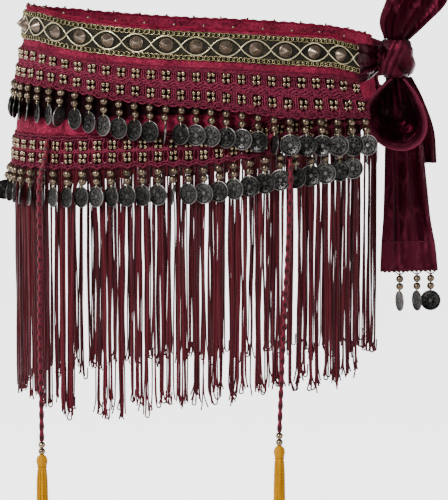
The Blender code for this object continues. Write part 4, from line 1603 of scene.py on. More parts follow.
@dataclass
class Dangles:
    """One row of bead pairs and coins on a chain."""

    name: str
    start: int
    end: int
    upper: bool
    bead_radius: float = 0.0038
    coin_radius: float = 0.0099
    # drops below the root: both beads, the ring and the coin
    bead_drops: tuple[float, float] = (0.0040, 0.0113)
    ring_drop: float = 0.0160
    coin_drop: float = 0.0252
    # distance out of the threads from the chain's back
    hang: float = 0.0011

    def edge(self, s: Any) -> Array:
        """Height of the net's edge that carries the row."""
        return HIPS.upper_edge(s) if self.upper else HIPS.lower_edge(s)

    def strip_out(self, s: Any) -> Any:
        """Distance out of the chain's back."""
        return 0.0022 + (YOKE_THICK + NET_GAP + NET_FLARE + HIPS.push(s) if self.upper else 0.0 * s)

    def layout(self) -> tuple[Array, Array, Array]:
        """Lay the row out.

        Returns:
            Stations, turns in radians and outward leans of the dangles.
        """
        index = np.arange(self.start, self.end) if self.upper else np.arange(self.start + 1, self.end)
        column = index + 0.5 if self.upper else index
        s = column / HIPS.columns
        yaw = np.array([COIN_TURNS[k % len(COIN_TURNS)] for k in index], dtype=float)
        for calm in SIDE_COLUMNS if self.upper else CORD_COLUMNS:
            yaw[np.abs(column - calm) < 1.6] = CALM_TURN
        lean = np.where(yaw < EDGE_ON_TURN, 0.0, 0.18) + 0.08
        if self.upper:
            crowded = yoke_edge(s) - (HIPS.upper_edge(s) - 0.035)
            lean += 0.08 * ramp(1 + crowded / 0.008)
        return s, np.radians(yaw), lean

    def spots(self, drop: Any, s: Any, lean: Any, rise: float = 0.0) -> Array:
        """Find points on the threads of the dangles.

        Args:
            drop: Drops below their roots.
            s: Stations.
            lean: Outward leans.
            rise: Height of the roots over the net's edge.

        Returns:
            The points.
        """
        edge = self.edge(s)
        return HIPS.place(s, edge + rise - drop, self.strip_out(s) + self.hang + lean * drop, edge)

    @property
    def rise(self) -> float:
        """Height of the roots over the net's edge."""
        return 0.0 if self.upper else -0.0005

    def beads(self) -> Piece:
        """Set two beads on each dangle.

        Returns:
            The beads.
        """
        part = bead_part("pair_bead", self.bead_radius, 0.97, 9, 14)
        s, yaw, lean = self.layout()
        rng = np.random.default_rng(21)
        places, turns = [], []
        for drop in self.bead_drops:
            side = rng.normal(0, 0.0003, len(s)) / HIPS.girth
            places.append(self.spots(drop, s + side, lean, self.rise))
            tip, roll = rng.normal(0, 0.1, len(s)), rng.normal(0, 0.1, len(s))
            turns.append(grid(tip, roll, yaw))
        places, turns = np.concatenate(places), np.concatenate(turns)
        return wear(LOOMS.scatter(self.name + "_beads", part, places, turns, BRASS))

    def coins(self) -> Piece:
        """Hang one stamped coin on each dangle.

        Returns:
            The coins.
        """
        s, yaw, lean = self.layout()
        rng = np.random.default_rng(31)
        tip = rng.normal(0, 0.06, len(s)) - np.arctan(lean) * 0.5
        turns = grid(tip, rng.uniform(-0.5, 0.5, len(s)), HIPS.heading(s) - yaw)
        places = self.spots(self.coin_drop, s, lean, self.rise)
        part = coin_blank(self.coin_radius)
        seed = len(self.name) + self.start
        piece = LOOMS.scatter(self.name + "_coins", part, places, turns, COIN, seed)
        return wear(piece, [self.name])

    def links(self) -> Piece:
        """Hang a wire ring between each bead pair and its coin.

        Returns:
            The rings.
        """
        s, _, lean = self.layout()
        angles = np.linspace(0, TURN, 13)
        outward = HIPS.section(HIPS.turn(s))[1]
        lines = [
            centre + np.outer(np.cos(angles) * 0.0016, side) + np.outer(np.sin(angles) * 0.0019, (0, 0, 1))
            for centre, side in zip(self.spots(self.ring_drop, s, lean, self.rise), outward)
        ]
        return wear(LOOMS.spin(self.name + "_rings", lines, Yarn(0.0003, 5, 1.0, 1.0), WIRE))

    def chain(self) -> Piece:
        """Crochet the chain and the threads that carry the pairs.

        Returns:
            The chain.
        """
        s = HIPS.between(self.start, self.end, 14)
        swing = 0.0011 * np.cos(s * HIPS.columns * TURN) * (1 if self.upper else -1)
        edge = self.edge(s)
        lines = [HIPS.place(s, edge + 0.0012 + swing, self.strip_out(s) + 0.0006, edge)]
        share = np.linspace(1.0, 0.0, 5)
        down = np.linspace(0.0, 0.0150, 5)
        for station, _, lean in zip(*self.layout()):
            edge = self.edge(station)
            for side in (-1, 1):
                spot = station + side * share * 0.0042 / HIPS.girth
                out = self.strip_out(station) + self.hang - 0.0008 * share
                lines.append(HIPS.place(spot, edge - 0.0012 + 0.0062 * share, out, edge))
            lines.append(self.spots(down, np.full(5, station), lean))
        yarn = Yarn(0.00065, 5, 0.75, 0.04)
        return wear(LOOMS.spin(self.name + "_chain", lines, yarn, CROCHET_YARN))

    def build(self) -> list[Piece]:
        """Build the row."""
        return [self.coins(), self.beads(), self.links(), self.chain()]


def coin_blank(radius: float) -> Piece:
    """Turn a coin with a raised rim, standing on edge and facing -Y, with its face in its UV map.

    Args:
        radius: Radius of the coin.

    Returns:
        The coin at the origin.
    """
    half = 0.0006
    # shares of the radius and of the half thickness
    face = ((0.0, 0.45), (0.84, 0.45), (0.90, 1.0), (0.98, 1.0), (1.0, 0.5))
    profile = [(radius * wide, -half * thick) for wide, thick in face]
    profile += [(radius * wide, half * thick) for wide, thick in reversed(face)]
    part = turned_part("coin", profile, 26)
    points = np.array([tuple(vertex.co) for vertex in part.data.vertices])
    write_uv(part, 0.5 + points[:, :2] / (2 * radius))
    stood = points[:, (0, 2, 1)] * (1, -1, 1)
    part.data.vertices.foreach_set("co", stood.astype(np.float32).ravel())
    part.data.update()
    return part


@dataclass
class Fringe:
    """One length of twisted fringe under the lower net."""

    number: int
    strands_per_lock: int = 6
    points: int = 16
    strand_radius: float = 0.00078
    # share of the strands that end in a loop, and the loop's radius
    loop_share: float = 0.12
    loop_radius: float = 0.0018
    # the widest gaps, as column and half-width; more are drawn between them
    known_gaps: tuple[tuple[float, float], ...] = (
        (19.0, 0.0115), (21.35, 0.0030), (16.9, 0.0022), (15.7, 0.0020),
    )

    def partings(self) -> list[tuple[float, float]]:
        """Lay out the gaps between the bundles, the same ones for every length.

        Returns:
            Station and half-width of each gap.
        """
        rng = np.random.default_rng(77)
        gaps = list(self.known_gaps)
        column = 0.6
        while column < HIPS.columns - 0.5:
            if all(abs(column - known) >= 1.3 for known, _ in self.known_gaps):
                gaps.append((column, rng.uniform(0.0008, 0.0032)))
            column += rng.uniform(0.8, 2.3)
        return [(column / HIPS.columns, half) for column, half in gaps]

    def strand(
        self, lock: int, rng: np.random.Generator, gaps: Sequence[tuple[float, float]],
    ) -> tuple[Array, Array]:
        """Let one strand fall from the net, drawn into its bundle and a little wavy.

        Args:
            lock: Number of its lock round the scarf.
            rng: Random numbers of this length of fringe.
            gaps: Station and half-width of each gap.

        Returns:
            The strand's points, and how freely each may wander.
        """
        pitch = 1 / (HIPS.columns * 2)
        t = np.concatenate((np.linspace(0.0, 0.93, self.points - 4), (0.95, 0.97, 0.985, 1.0)))
        inside = rng.uniform(0.0, 1.0)
        s = (lock + 0.5 + (inside - 0.5) * 0.92) * pitch
        edge = float(HIPS.lower_edge(s))
        ragged = 0.004 * math.sin(lock * 1.7) + 0.003 * math.sin(lock * 4.1)
        foot = float(HIPS.height(s, 5)) + 0.004 + ragged + rng.normal(0, 0.003)
        out = -0.0012 + rng.uniform(-0.0009, 0.0009)
        shift = (0.5 - inside) * 0.45 * HIPS.girth * pitch + 0.0012 * math.sin(lock * 2.4)
        for gap, half in gaps:
            off = (s - gap) * HIPS.girth
            if abs(off) < 2 * half:
                shift += math.copysign(half - abs(off) / 2, off if off else 1.0)
        sway = rng.normal(0, 0.0008) * t + 0.0009 * np.sin(t * rng.uniform(3, 8) + rng.uniform(0, 6))
        sway += rng.normal(0, 0.0019) * ramp((t - 0.94) / 0.06) ** 1.5
        root = edge + 0.0020
        station = s + (shift * (1 - np.exp(-t * 9)) + sway * np.minimum(1, t * 4)) / HIPS.girth
        line = HIPS.place(station, root + (foot - root) * t, out, edge)
        looseness = ramp(t * 3)
        if rng.uniform() < self.loop_share:
            bend = np.linspace(0.0, np.pi, 8)[1:]
            arc = grid(1 - np.cos(bend), 0.0, -np.sin(bend)) * self.loop_radius
            line = np.concatenate((line, line[-1] + arc, line[-1] + arc[-1:] + ((0.0004, 0, 0.010),)))
            looseness = np.concatenate((looseness, np.ones(len(arc) + 1)))
        return line, looseness

    def build(self) -> Piece:
        """Spin the strands of this length.

        Returns:
            The fringe.
        """
        rng = np.random.default_rng(100 + self.number)
        locks = HIPS.columns // 6 * 2
        first = (self.number - 1) * locks
        gaps = self.partings()
        order = np.repeat(np.arange(first, first + locks), self.strands_per_lock)
        strands = [self.strand(int(lock), rng, gaps) for lock in order]
        yarn = Yarn(self.strand_radius, 5, 0.85, 0.5, 0.0022, 0.06, 4 + self.number)
        lines, free = zip(*strands)
        piece = LOOMS.spin("fringe_strands_%d" % self.number, lines, yarn, FRINGE_YARN, free)
        return wear(piece, ["fringe_%d" % self.number])


@dataclass
class Ribbon:
    """A cloth tie drawn smoothly through rings of centre, half-width, half-thickness and fold."""

    name: str
    rings: tuple[tuple[Any, ...], ...]
    # height of the broad folds from edge to edge, in shares of each ring's fold
    folds: tuple[float, ...] = (0.0, 0.6, -0.4, 0.5, 0.0)
    along: int = 70
    across: int = 44
    crinkle: float = 0.0008
    creases: int = 13
    pleat: float = 0.0009
    seed: int = 1
    gathered_start: bool = True
    gathered_end: bool = False
    # middle of a loop whose back edge is drawn in and whose front edge turns out
    cup: tuple[float, float, float] | None = None
    cup_depth: float = 0.78
    lip: float = 0.0045
    # share of the length where the end is turned up as a hem
    hem: float = 1.0

    def crumple(self, t: Array, a: Array) -> Array:
        """Draw creases along the cloth, each with its own drift and bend.

        Args:
            t: Shares of the length.
            a: Places across, from -1 to 1.

        Returns:
            Height of the creases, in shares of the crinkle's height.
        """
        rng = np.random.default_rng(self.seed)
        crease = np.zeros((len(t), len(a)))
        for _ in range(self.creases):
            middle, drift, width = rng.uniform(-0.9, 0.9), rng.normal(0, 0.4), rng.uniform(0.035, 0.14)
            bend, height = rng.uniform(2, 6), rng.normal(0, 1.0)
            track = middle + drift * (t - 0.5) + 0.10 * np.sin(bend * t + rng.uniform(0, 6))
            crease += height * bell(a[None, :], track[:, None], width)
        return crease

    def open_cup(self, middle: Array, lit: Array, t: Array, toward: Array) -> tuple[Array, Array]:
        """Draw a loop's back edge in to its middle and turn its front edge out as a lip.

        Args:
            middle: Grid of the cloth's points.
            lit: How lit each point is.
            t: Shares of the length.
            toward: How far each point lies to the front, from -1 to 1.

        Returns:
            The new points, and how lit each is.
        """
        inward = np.array(self.cup) - middle
        inward[..., 1] = 0.0
        reach = np.linalg.norm(inward, axis=2, keepdims=True)
        held = ramp(np.minimum(t, 1 - t) / 0.12)[:, None, None] ** 0.7
        back = ramp(-toward - 0.05) ** 1.1
        turned = ramp(toward - 0.45) / 0.55
        # painted highlight on the turned-out lip and painted shade inside the loop
        lit = lit + (0.9 * turned - 1.2 * back)[..., 0]
        middle = middle + inward * back * self.cup_depth * held
        return middle - inward / np.maximum(reach, 1e-6) * self.lip * turned ** 1.6 * held, lit

    def surfaces(self) -> tuple[Array, Array, Array, Array]:
        """Draw the cloth.

        Returns:
            The outer and inner grids, the cut's coordinates and how lit each point is.
        """
        rows = smooth_rows(np.array([[*c, *w, thick, fold] for c, w, thick, fold in self.rings]), self.along)
        centre, wide, thick, fold = rows[:, :3], rows[:, 3:6], rows[:, 6], rows[:, 7]
        normal = unit(np.cross(np.gradient(centre, axis=0), wide))
        a = np.linspace(-1.0, 1.0, self.across)
        knots = np.linspace(-1.0, 1.0, len(self.folds))[:, None]
        near = np.exp(-(((a - knots) * (len(knots) - 1) / 2) ** 2) * 2.2)
        smooth = (near * np.array(self.folds)[:, None]).sum(axis=0) / near.sum(axis=0)
        run = walked(centre)
        t = run / run[-1]
        crease = self.crumple(t, a)
        pinch = np.maximum(
            np.exp(-t / 0.16) if self.gathered_start else 0 * t,
            np.exp(-(1 - t) / 0.16) if self.gathered_end else 0 * t,
        )[:, None]
        pleat = np.sin(a * 13 + 0.8) * pinch
        edge = 1 - np.abs(a) ** 8
        turned_up = ramp((t - self.hem) / 0.01)[:, None]
        lift = fold[:, None] * smooth + (self.crinkle * crease + self.pleat * pleat) * edge
        lift += 0.0004 * turned_up
        # lit is painted light and shade: highlight on crease and pleat crowns, on the edges and on the
        # turned-up hem; shade in their troughs and where the ends are gathered
        lit = 0.28 * np.tanh(crease) + 0.25 * pleat + 0.35 * np.abs(a) ** 14 - 0.25 * pinch + 0.22 * turned_up
        middle = centre[:, None] + wide[:, None] * a[:, None] + normal[:, None] * lift[..., None]
        if self.cup is not None:
            toward = -a[None, :, None] * np.sign(wide[:, 1])[:, None, None]
            middle, lit = self.open_cup(middle, lit, t, toward)
        half = np.minimum(thick, 0.0010)[:, None] * (0.55 + 0.45 * edge)
        half = half[..., None] * normal[:, None]
        uv = grid(np.linalg.norm(wide, axis=1)[:, None] * a, run[:, None])
        return middle + half, middle - half, uv, lit

    def build(self, knot: Piece, held: str, pieces: Sequence[Piece] = ()) -> Piece:
        """Args:
            knot: The knot that carries it; not used.
            held: How it is held; not used.
            pieces: Pieces sewn on it; not used.

        Returns:
            The cloth.
        """
        front, back, uv, lit = self.surfaces()
        piece = cloth_shell(self.name + "_cloth", front, back, uv, lit=lit)
        wear(piece, [self.name], CRUSHED)
        middle = (front + back) / 2
        length = float(np.linalg.norm(np.diff(middle, axis=0), axis=2).sum(axis=0).mean())
        width = np.linalg.norm(np.diff(middle, axis=1), axis=2).sum(axis=1)
        return piece


# Rings of each tie: centre, half-width, half-thickness and fold
TIE_FRONT = Ribbon("tie_run_front", (
    ((0.1448, -0.0768, -0.0140), (0.0, 0.0, 0.0190), 0.0011, 0.0),
    ((0.1530, -0.0680, -0.0135), (0.0, 0.0, 0.0175), 0.0016, 0.0012),
    ((0.1592, -0.0570, -0.0130), (0.0, 0.0, 0.0155), 0.0018, 0.0014),
    ((0.1661, -0.0432, -0.0110), (0.0, 0.0, 0.0125), 0.0018, 0.0006),
), along=30, crinkle=0.0006, seed=2, gathered_start=False, gathered_end=True)
TIE_BACK = Ribbon("tie_run_back", (
    ((0.1660, 0.0362, -0.0140), (0.0, 0.0, 0.0190), 0.0012, 0.0),
    ((0.1710, 0.0200, -0.0140), (0.0, 0.0, 0.0175), 0.0016, 0.0012),
    ((0.1800, -0.0040, -0.0130), (0.0, 0.0, 0.0150), 0.0022, 0.0016),
    ((0.1828, -0.0241, -0.0105), (0.0, 0.0, 0.0125), 0.0022, 0.0008),
), along=40, crinkle=0.0007, seed=3, gathered_start=False, gathered_end=True)
LOOP_UPPER = Ribbon("bow_loop_upper", (
    ((0.1840, -0.0490, 0.0073), (0.0120, 0.0, 0.0), 0.0014, 0.0010),
    ((0.1900, -0.0560, 0.0250), (0.0230, 0.0, -0.0010), 0.0011, 0.0030),
    ((0.2030, -0.0590, 0.0480), (0.0262, 0.0, -0.0060), 0.0010, 0.0035),
    ((0.2110, -0.0570, 0.0760), (0.0262, 0.0, -0.0080), 0.0010, 0.0030),
    ((0.2160, -0.0490, 0.0990), (0.0250, 0.0, -0.0080), 0.0010, 0.0015),
    ((0.2170, -0.0380, 0.1060), (0.0245, 0.0, -0.0070), 0.0010, 0.0010),
    ((0.2160, -0.0270, 0.0980), (0.0250, 0.0, -0.0080), 0.0010, 0.0015),
    ((0.2110, -0.0200, 0.0740), (0.0250, 0.0, -0.0080), 0.0010, 0.0030),
    ((0.2020, -0.0190, 0.0470), (0.0240, 0.0, -0.0050), 0.0010, 0.0035),
    ((0.1900, -0.0240, 0.0240), (0.0200, 0.0, -0.0010), 0.0011, 0.0025),
    ((0.1840, -0.0310, 0.0073), (0.0115, 0.0, 0.0), 0.0014, 0.0010),
), along=150, crinkle=0.0016, seed=7, gathered_end=True)
LOOP_LOWER = Ribbon("bow_loop_lower", (
    ((0.1785, -0.0470, -0.0294), (-0.0010, 0.0080, 0.0), 0.0013, 0.0006),
    ((0.1690, -0.0520, -0.0400), (-0.0010, 0.0130, 0.0), 0.0011, 0.0010),
    ((0.1580, -0.0570, -0.0550), (0.0, 0.0180, 0.0), 0.0010, 0.0012),
    ((0.1600, -0.0575, -0.0730), (0.0, 0.0190, 0.0), 0.0010, 0.0015),
    ((0.1730, -0.0575, -0.0870), (0.0, 0.0190, 0.0), 0.0010, 0.0012),
    ((0.1910, -0.0575, -0.0905), (0.0, 0.0190, 0.0), 0.0010, 0.0012),
    ((0.2040, -0.0575, -0.0820), (0.0, 0.0190, 0.0), 0.0010, 0.0012),
    ((0.2065, -0.0570, -0.0670), (0.0, 0.0180, 0.0), 0.0010, 0.0012),
    ((0.1990, -0.0530, -0.0470), (0.0, 0.0140, 0.0), 0.0011, 0.0010),
    ((0.1905, -0.0470, -0.0294), (0.0, 0.0080, 0.0), 0.0013, 0.0006),
), along=130, crinkle=0.0011, seed=9, gathered_end=True, cup=(0.184, -0.055, -0.062))
TAIL_FOLDS = (0.0, 0.7, -0.5, 0.6, -0.7, 0.4, 0.0)
TAIL_LONG = Ribbon("tail_long", (
    ((0.1850, -0.0330, -0.0294), (0.0105, 0.0, 0.0), 0.0010, 0.0004),
    ((0.1890, -0.0325, -0.0550), (0.0140, 0.0, 0.0), 0.0010, 0.0012),
    ((0.1925, -0.0310, -0.0935), (0.0180, 0.0020, 0.0), 0.0010, 0.0024),
    ((0.1945, -0.0320, -0.1300), (0.0205, 0.0040, 0.0), 0.0010, 0.0032),
    ((0.1960, -0.0330, -0.1650), (0.0230, 0.0050, 0.0), 0.0010, 0.0032),
    ((0.1975, -0.0340, -0.1900), (0.0262, 0.0050, 0.0), 0.0013, 0.0022),
    ((0.1985, -0.0340, -0.2147), (0.0280, 0.0050, 0.0), 0.0013, 0.0012),
), TAIL_FOLDS, along=120, crinkle=0.0010, seed=12, hem=0.845)
TAIL_SHORT = Ribbon("tail_short", (
    ((0.1920, -0.0278, -0.0294), (0.0080, 0.0, 0.0), 0.0010, 0.0004),
    ((0.2000, -0.0250, -0.0500), (0.0110, 0.0, 0.0), 0.0010, 0.0012),
    ((0.2090, -0.0230, -0.0800), (0.0130, 0.0010, 0.0), 0.0010, 0.0020),
    ((0.2130, -0.0220, -0.1120), (0.0120, 0.0010, 0.0), 0.0010, 0.0020),
), TAIL_FOLDS, along=60, crinkle=0.0008, seed=15)


@dataclass
class Ties:
    """The ties: runs, knot, loops and tails."""

    # the knot: its middle, and height, half-width and half-depth of its rings
    knot_x: float = 0.184
    knot_y: float = -0.040
    knot_rings: tuple[tuple[float, float, float], ...] = (
        (-0.0290, 0.0110, 0.0125), (-0.0255, 0.0150, 0.0150), (-0.0170, 0.0172, 0.0160),
        (-0.0090, 0.0158, 0.0152), (-0.0020, 0.0168, 0.0158), (0.0040, 0.0148, 0.0146),
        (0.0068, 0.0120, 0.0125),
    )
    # the long tail's hem: its middle, its half-width, and where each dangle hangs and turns
    hem_middle: tuple[float, float, float] = (0.1985, -0.0340, -0.2151)
    hem_half: tuple[float, float, float] = (0.0280, 0.0050, 0.0)
    dangle_places: tuple[float, ...] = (-0.0090, 0.0080, 0.0215)
    dangle_turns: tuple[float, ...] = (82.0, 78.0, 20.0)
    bead_radius: float = 0.0037
    coin_radius: float = 0.0099
    # drops below the hem: both beads, and the coin
    bead_drops: tuple[float, float] = (0.0072, 0.0145)
    coin_drop: float = 0.0285
    # half the length of the picot line under the hem
    picot_half: float = 0.0270

    def knot(self) -> Piece:
        """Build the knot: spiral creases, and a pleated band wrapped over them.

        Returns:
            The knot.
        """
        rings = np.array(self.knot_rings)
        rows, sides, size = 44, 80, 0.016
        z = np.linspace(rings[0, 0], rings[-1, 0], rows)[:, None]
        half_width, half_depth = (np.interp(z, rings[:, 0], rings[:, k]) for k in (1, 2))
        angle = np.linspace(0, TURN, sides, endpoint=False)[None, :]
        level = (z - z[0]) / (z[-1] - z[0])
        spiral = level * 8.5 + angle * 2 + 0.9 * np.sin(angle + 0.6) + 0.8 * np.sin(level * 5)
        crease = 1 - np.abs(np.sin(spiral / 2)) ** 0.45
        lean = angle - 0.9 * level
        over = np.exp(-(((np.mod(lean + TURN, TURN) - 3.9) / 0.55) ** 4))
        pleats = 0.0005 * np.sin(lean * 16)
        wrap = (0.0008 - 0.0046 * crease) * np.sin(level * np.pi) ** 0.5
        wrap = wrap * (1 - over) + over * (0.0014 + pleats)
        band = 0.0008 * np.sin(angle * 3 + level * 5) * (1 - over)
        # lit is painted light and shade: highlight on the wrapped band and its pleats, shade in the spiral
        # creases
        lit = over * (0.35 + pleats * 700) - (1 - over) * (crease * 1.2 - 0.3)
        reach = 1 + (wrap + band) / size
        x = self.knot_x + half_width * np.cos(angle) * reach
        y = self.knot_y + half_depth * np.sin(angle) * reach
        piece = mesh_piece("knot_cloth", grid(x, y, z), tube_faces(rows, sides))
        write_value(piece, "lit", lit)
        write_uv(piece, grid(angle * size, z))
        return wear(piece, ["knot"], CRUSHED)

    def tail_dangles(self) -> list[Piece]:
        """Hang three bead pairs and coins under the hem of the long tail.

        Returns:
            The beads, the coins, and the threads with the picot line that carries them.
        """
        centre, up = np.array(self.hem_middle), np.array((0.0, 0.0, 1.0))
        direction = unit(np.array(self.hem_half))
        heading = math.atan2(direction[1], direction[0])
        spots = np.array([centre + direction * distance for distance in self.dangle_places])
        places = np.concatenate([spots - up * drop for drop in self.bead_drops])
        part = bead_part("tail_bead", self.bead_radius, 0.97, 9, 14)
        beads = LOOMS.scatter("tail_beads", part, places, None, BRASS)
        turns = grid(0.0, 0.0, heading - np.radians(self.dangle_turns))
        part, places = coin_blank(self.coin_radius), spots - up * self.coin_drop
        coins = LOOMS.scatter("tail_coin_faces", part, places, turns, COIN)
        lines = [spot - np.outer((-0.001, 0.009, 0.0200), up) for spot in spots]
        for spot in spots:
            for side in (-0.0055, 0.0055):
                foot = spot + direction * side
                middle = (foot + spot) / 2
                lines.append(np.array((foot + up * 0.0006, middle - up * 0.0016, spot - up * 0.0034)))
        reach = direction * self.picot_half
        picot = np.linspace(centre - reach, centre + reach, 60)
        picot[:, 2] += 0.0004 + 0.0007 * np.sin(np.arange(60) * 1.3)
        threads = LOOMS.spin("tail_threads", [*lines, picot], Yarn(0.0007, 6, 0.8, 0.04), CORD_YARN)
        return [
            wear(beads), wear(coins, ["tail_coins"]), wear(threads),
        ]

    def hem_band(self) -> Piece:
        """Cord two lines across the long tail where its hem is turned up.

        Returns:
            The lines.
        """
        front = TAIL_LONG.surfaces()[0]
        lines = [front[int(len(front) * share)] + (0, -0.0003, 0) for share in (TAIL_LONG.hem, 0.985)]
        piece = LOOMS.spin("tail_hem_cording", lines, Yarn(0.0006, 5, 0.8, 0.004), CORD_YARN)
        return wear(piece)

    def build(self) -> None:
        """Build the knot, the runs, the loops and the tails."""
        knot = self.knot()
        TIE_FRONT.build(knot, "stretched")
        TIE_BACK.build(knot, "stretched")
        LOOP_UPPER.build(knot, "folded")
        LOOP_LOWER.build(knot, "folded")
        dangles = self.tail_dangles()
        TAIL_LONG.build(knot, "hung", [self.hem_band(), *dangles])
        TAIL_SHORT.build(knot, "hung")


# Route of each cord, from the net to its beads
LEFT_ROUTE = (
    (-0.1425, -0.0945, -0.0835),
    (-0.1431, -0.0953, -0.0910),
    (-0.1443, -0.0968, -0.0990),
    (-0.1459, -0.0988, -0.1065),
    (-0.1478, -0.1013, -0.1135),
    (-0.1492, -0.1030, -0.1205),
    (-0.1498, -0.1038, -0.1290),
    (-0.1499, -0.1040, -0.1400),
    (-0.1497, -0.1041, -0.1600),
    (-0.1495, -0.1040, -0.1900),
    (-0.1497, -0.1038, -0.2200),
    (-0.1502, -0.1037, -0.2500),
    (-0.1502, -0.1038, -0.2800),
    (-0.1498, -0.1040, -0.3100),
    (-0.1496, -0.1040, -0.3400),
    (-0.1496, -0.1040, -0.3660),
)
RIGHT_ROUTE = (
    (0.0796, -0.1204, -0.0947),
    (0.0802, -0.1233, -0.0949),
    (0.0809, -0.1262, -0.0961),
    (0.0815, -0.1289, -0.0990),
    (0.0820, -0.1310, -0.1042),
    (0.0822, -0.1319, -0.1120),
    (0.0822, -0.1321, -0.1220),
    (0.0816, -0.1321, -0.1400),
    (0.0806, -0.1320, -0.1650),
    (0.0794, -0.1319, -0.1900),
    (0.0780, -0.1319, -0.2200),
    (0.0766, -0.1320, -0.2500),
    (0.0753, -0.1321, -0.2800),
    (0.0741, -0.1322, -0.3100),
    (0.0732, -0.1322, -0.3350),
    (0.0726, -0.1322, -0.3515),
)


@dataclass
class HangingCord:
    """A braided cord with two beads and a golden tassel."""

    side: str
    route: tuple[tuple[float, float, float], ...]
    radius: float = 0.0025
    bead: float = 0.0034
    sides: int = 18
    plait: float = 0.0105
    # how far the cord's core runs on, through the beads into the tassel's head
    core: float = 0.0165
    # drop and radius of the tassel's rings, from its top to its foot
    skirt: tuple[tuple[float, float], ...] = (
        (0.0, 0.0015), (0.0022, 0.0040), (0.0055, 0.0049), (0.0090, 0.0043), (0.0112, 0.0030),
        (0.0150, 0.0041), (0.025, 0.0048), (0.045, 0.0051), (0.070, 0.0053), (0.097, 0.0055),
    )
    tassel_strands: int = 84

    @property
    def end(self) -> Array:
        """The cord's foot, where its beads begin."""
        return np.array(self.route[-1])

    def cord(self, pieces: Sequence[Piece]) -> Piece:
        """Args:
            pieces: Beads and tassel on its end; not used.

        Returns:
            The cord.
        """
        centre = smooth_rows(np.array(self.route), 260)
        core = centre[-1] - np.outer(np.linspace(0.0006, self.core, 16), (0.0, 0.0, 1.0))
        centre = np.concatenate((centre, core))
        run = walked(centre)
        tangent = unit(np.gradient(centre, axis=0))
        side = unit(np.cross(tangent, (1.0, 0.0, 0.0)))
        other = np.cross(tangent, side)
        angle = np.linspace(0, TURN, self.sides, endpoint=False)
        turn = TURN * run[:, None] / self.plait
        crossing = np.maximum(np.sin(angle * 2 + turn), np.sin(-angle * 2 + turn + 0.5))
        radius = self.radius * (0.80 + 0.20 * crossing)
        radius[-len(core):] *= 0.45
        swing = np.cos(angle)[:, None] * side[:, None] + np.sin(angle)[:, None] * other[:, None]
        points = centre[:, None] + radius[..., None] * swing
        faces = [tuple(reversed(face)) for face in tube_faces(len(centre), self.sides)]
        piece = mesh_piece("braided_cord_" + self.side, points, faces)
        write_value(piece, "run", np.repeat(run, self.sides))
        write_value(piece, "around", np.tile(angle / TURN, len(centre)))
        write_value(piece, "tone", np.full(radius.size, 0.5))
        wear(piece, ["cord_" + self.side], CORD_YARN)
        return piece

    def beads(self) -> Piece:
        """Set the two brass beads under the cord.

        Returns:
            The beads.
        """
        part = bead_part("cord_bead", self.bead, 0.95, 11, 18)
        drops = 0.0003 + self.bead * np.array((1.0, 2.8))
        places = self.end - np.outer(drops, (0, 0, 1))
        piece = LOOMS.scatter("brass_pair_" + self.side, part, places, None, SMALL_BRASS)
        return wear(piece, ["cord_beads_" + self.side])

    def tassel(self) -> Piece:
        """Spin the golden tassel: round head, bound neck and skirt.

        Returns:
            The tassel.
        """
        top = 0.0006 + self.bead * 3.7
        rng = np.random.default_rng(51)
        drops, radii = np.array(self.skirt).T
        lines, free = [], []
        for k in range(self.tassel_strands):
            angle = TURN * k * 0.618
            reach = math.sqrt(rng.uniform(0.15, 1.0))
            length = 1 - rng.uniform(0, 0.06)
            shape = radii * np.where(drops < 0.012, 0.75 + 0.25 * reach, reach)
            fall = top + drops * np.where(drops > 0.02, length, 1.0)
            lines.append(self.end + grid(shape * math.cos(angle), shape * math.sin(angle), -fall))
            free.append(ramp((drops - 0.012) / 0.04))
        angle = np.linspace(0, TURN, 17)
        for k in range(4):
            ring = grid(np.cos(angle) * 0.0039, np.sin(angle) * 0.0039, -(top + 0.0100 + 0.0009 * k))
            lines.append(self.end + ring)
            free.append(np.zeros(17))
        yarn = Yarn(0.00065, 5, 0.85, 0.5, 0.0022, 0.03, 9)
        piece = LOOMS.spin("golden_tassel_" + self.side, lines, yarn, TASSEL_YARN, free)
        return wear(piece, ["tassel_" + self.side])

    def build(self) -> None:
        """Build the cord and what hangs on it."""
        self.cord([self.beads(), self.tassel()])


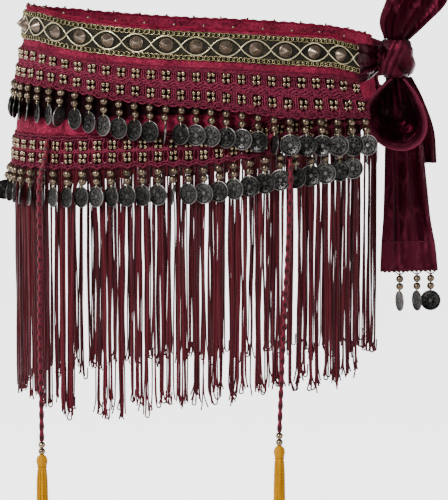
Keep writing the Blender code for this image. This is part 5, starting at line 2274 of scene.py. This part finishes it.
@dataclass
class Studio:
    """Camera, soft lamps and a pale floor."""

    target: tuple[float, float, float] = (0.0213, 0.0, -0.199)
    distance: float = 2.4
    elevation: float = 7.5
    lens: float = 178.0
    aim: tuple[float, float, float] = (0.0, 0.0, -0.12)
    # place, width and power of each lamp
    lamps: tuple[tuple[tuple[float, float, float], float, float], ...] = (
        ((-1.3, -2.0, 1.3), 0.7, 84.0), ((1.8, -1.6, 0.5), 0.9, 16.0),
        ((0.3, 1.6, 1.7), 1.2, 30.0), ((-1.8, 0.3, 0.3), 0.8, 12.0),
    )
    world_colour: str = "F4F4F6"
    world_strength: float = 0.2
    floor_z: float = -0.95
    floor_reach: float = 80.0

    @staticmethod
    def stand(name: str, data: Any, place: Vector, aim: Vector) -> Piece:
        """Stand a camera or lamp at a place, turned to another.

        Args:
            name: Name of the object.
            data: The camera or lamp.
            place: Where it stands.
            aim: What it points at.

        Returns:
            The object.
        """
        made = add_object(name, data)
        made.location = place
        made.rotation_mode = "QUATERNION"
        made.rotation_quaternion = (aim - place).to_track_quat("-Z", "Y")
        return made

    def camera(self) -> None:
        """Stand the camera where the photo was taken from."""
        data = bpy.data.cameras.new("camera")
        data.lens = self.lens
        data.sensor_width = 36.0
        tilt = math.radians(self.elevation)
        target = Vector(self.target)
        place = target + Vector((0.0, -math.cos(tilt), math.sin(tilt))) * self.distance
        bpy.context.scene.camera = self.stand("camera", data, place, target)

    def lights(self) -> None:
        """Set soft lamps round the scarf and a pale surround."""
        for number, (place, width, power) in enumerate(self.lamps):
            data = bpy.data.lights.new("lamp_%d" % number, "AREA")
            data.size = width
            data.energy = power
            self.stand("lamp_%d" % number, data, Vector(place), Vector(self.aim))
        world = bpy.data.worlds.new("surround")
        world.use_nodes = True
        surround = world.node_tree.nodes["Background"].inputs
        surround["Color"].default_value = linear(self.world_colour)
        surround["Strength"].default_value = self.world_strength
        bpy.context.scene.world = world

    def floor(self) -> None:
        """Lay a wide pale floor that fills the view and glows as painted light."""
        corners = ((-1, -1), (1, -1), (1, 1), (-1, 1))
        points = [(x * self.floor_reach, y * self.floor_reach, self.floor_z) for x, y in corners]
        floor = mesh_piece("pale_floor", points, [(0, 1, 2, 3)])
        floor.data.materials.append(WARDROBE.of(PAPER))

    def build(self) -> None:
        """Set the whole studio."""
        self.camera()
        self.lights()
        self.floor()


def main() -> None:
    """Build every piece of the scarf in order."""
    logging.basicConfig(level=logging.INFO, format="%(message)s")
    Studio().build()
    HangingCord("left", LEFT_ROUTE).build()
    HangingCord("right", RIGHT_ROUTE).build()
    yoke = Yoke()
    cloth = yoke.cloth()
    sewn = [yoke.piping(), yoke.picots(), yoke.hem(), *MetalBraid().build()]
    half = HIPS.columns // 2
    for start, end, side in ((0, half, "front"), (half, HIPS.columns, "back")):
        UpperNet(start, end, side).build()
        LowerNet(start, end, side).build()
        Dangles("upper_coins_" + side, start, end, True).build()
        Dangles("lower_coins_" + side, start, end, False).build()
    for number in range(1, 7):
        Fringe(number).build()
    Ties().build()
    yoke.declare()


if __name__ == "__main__":
    main()
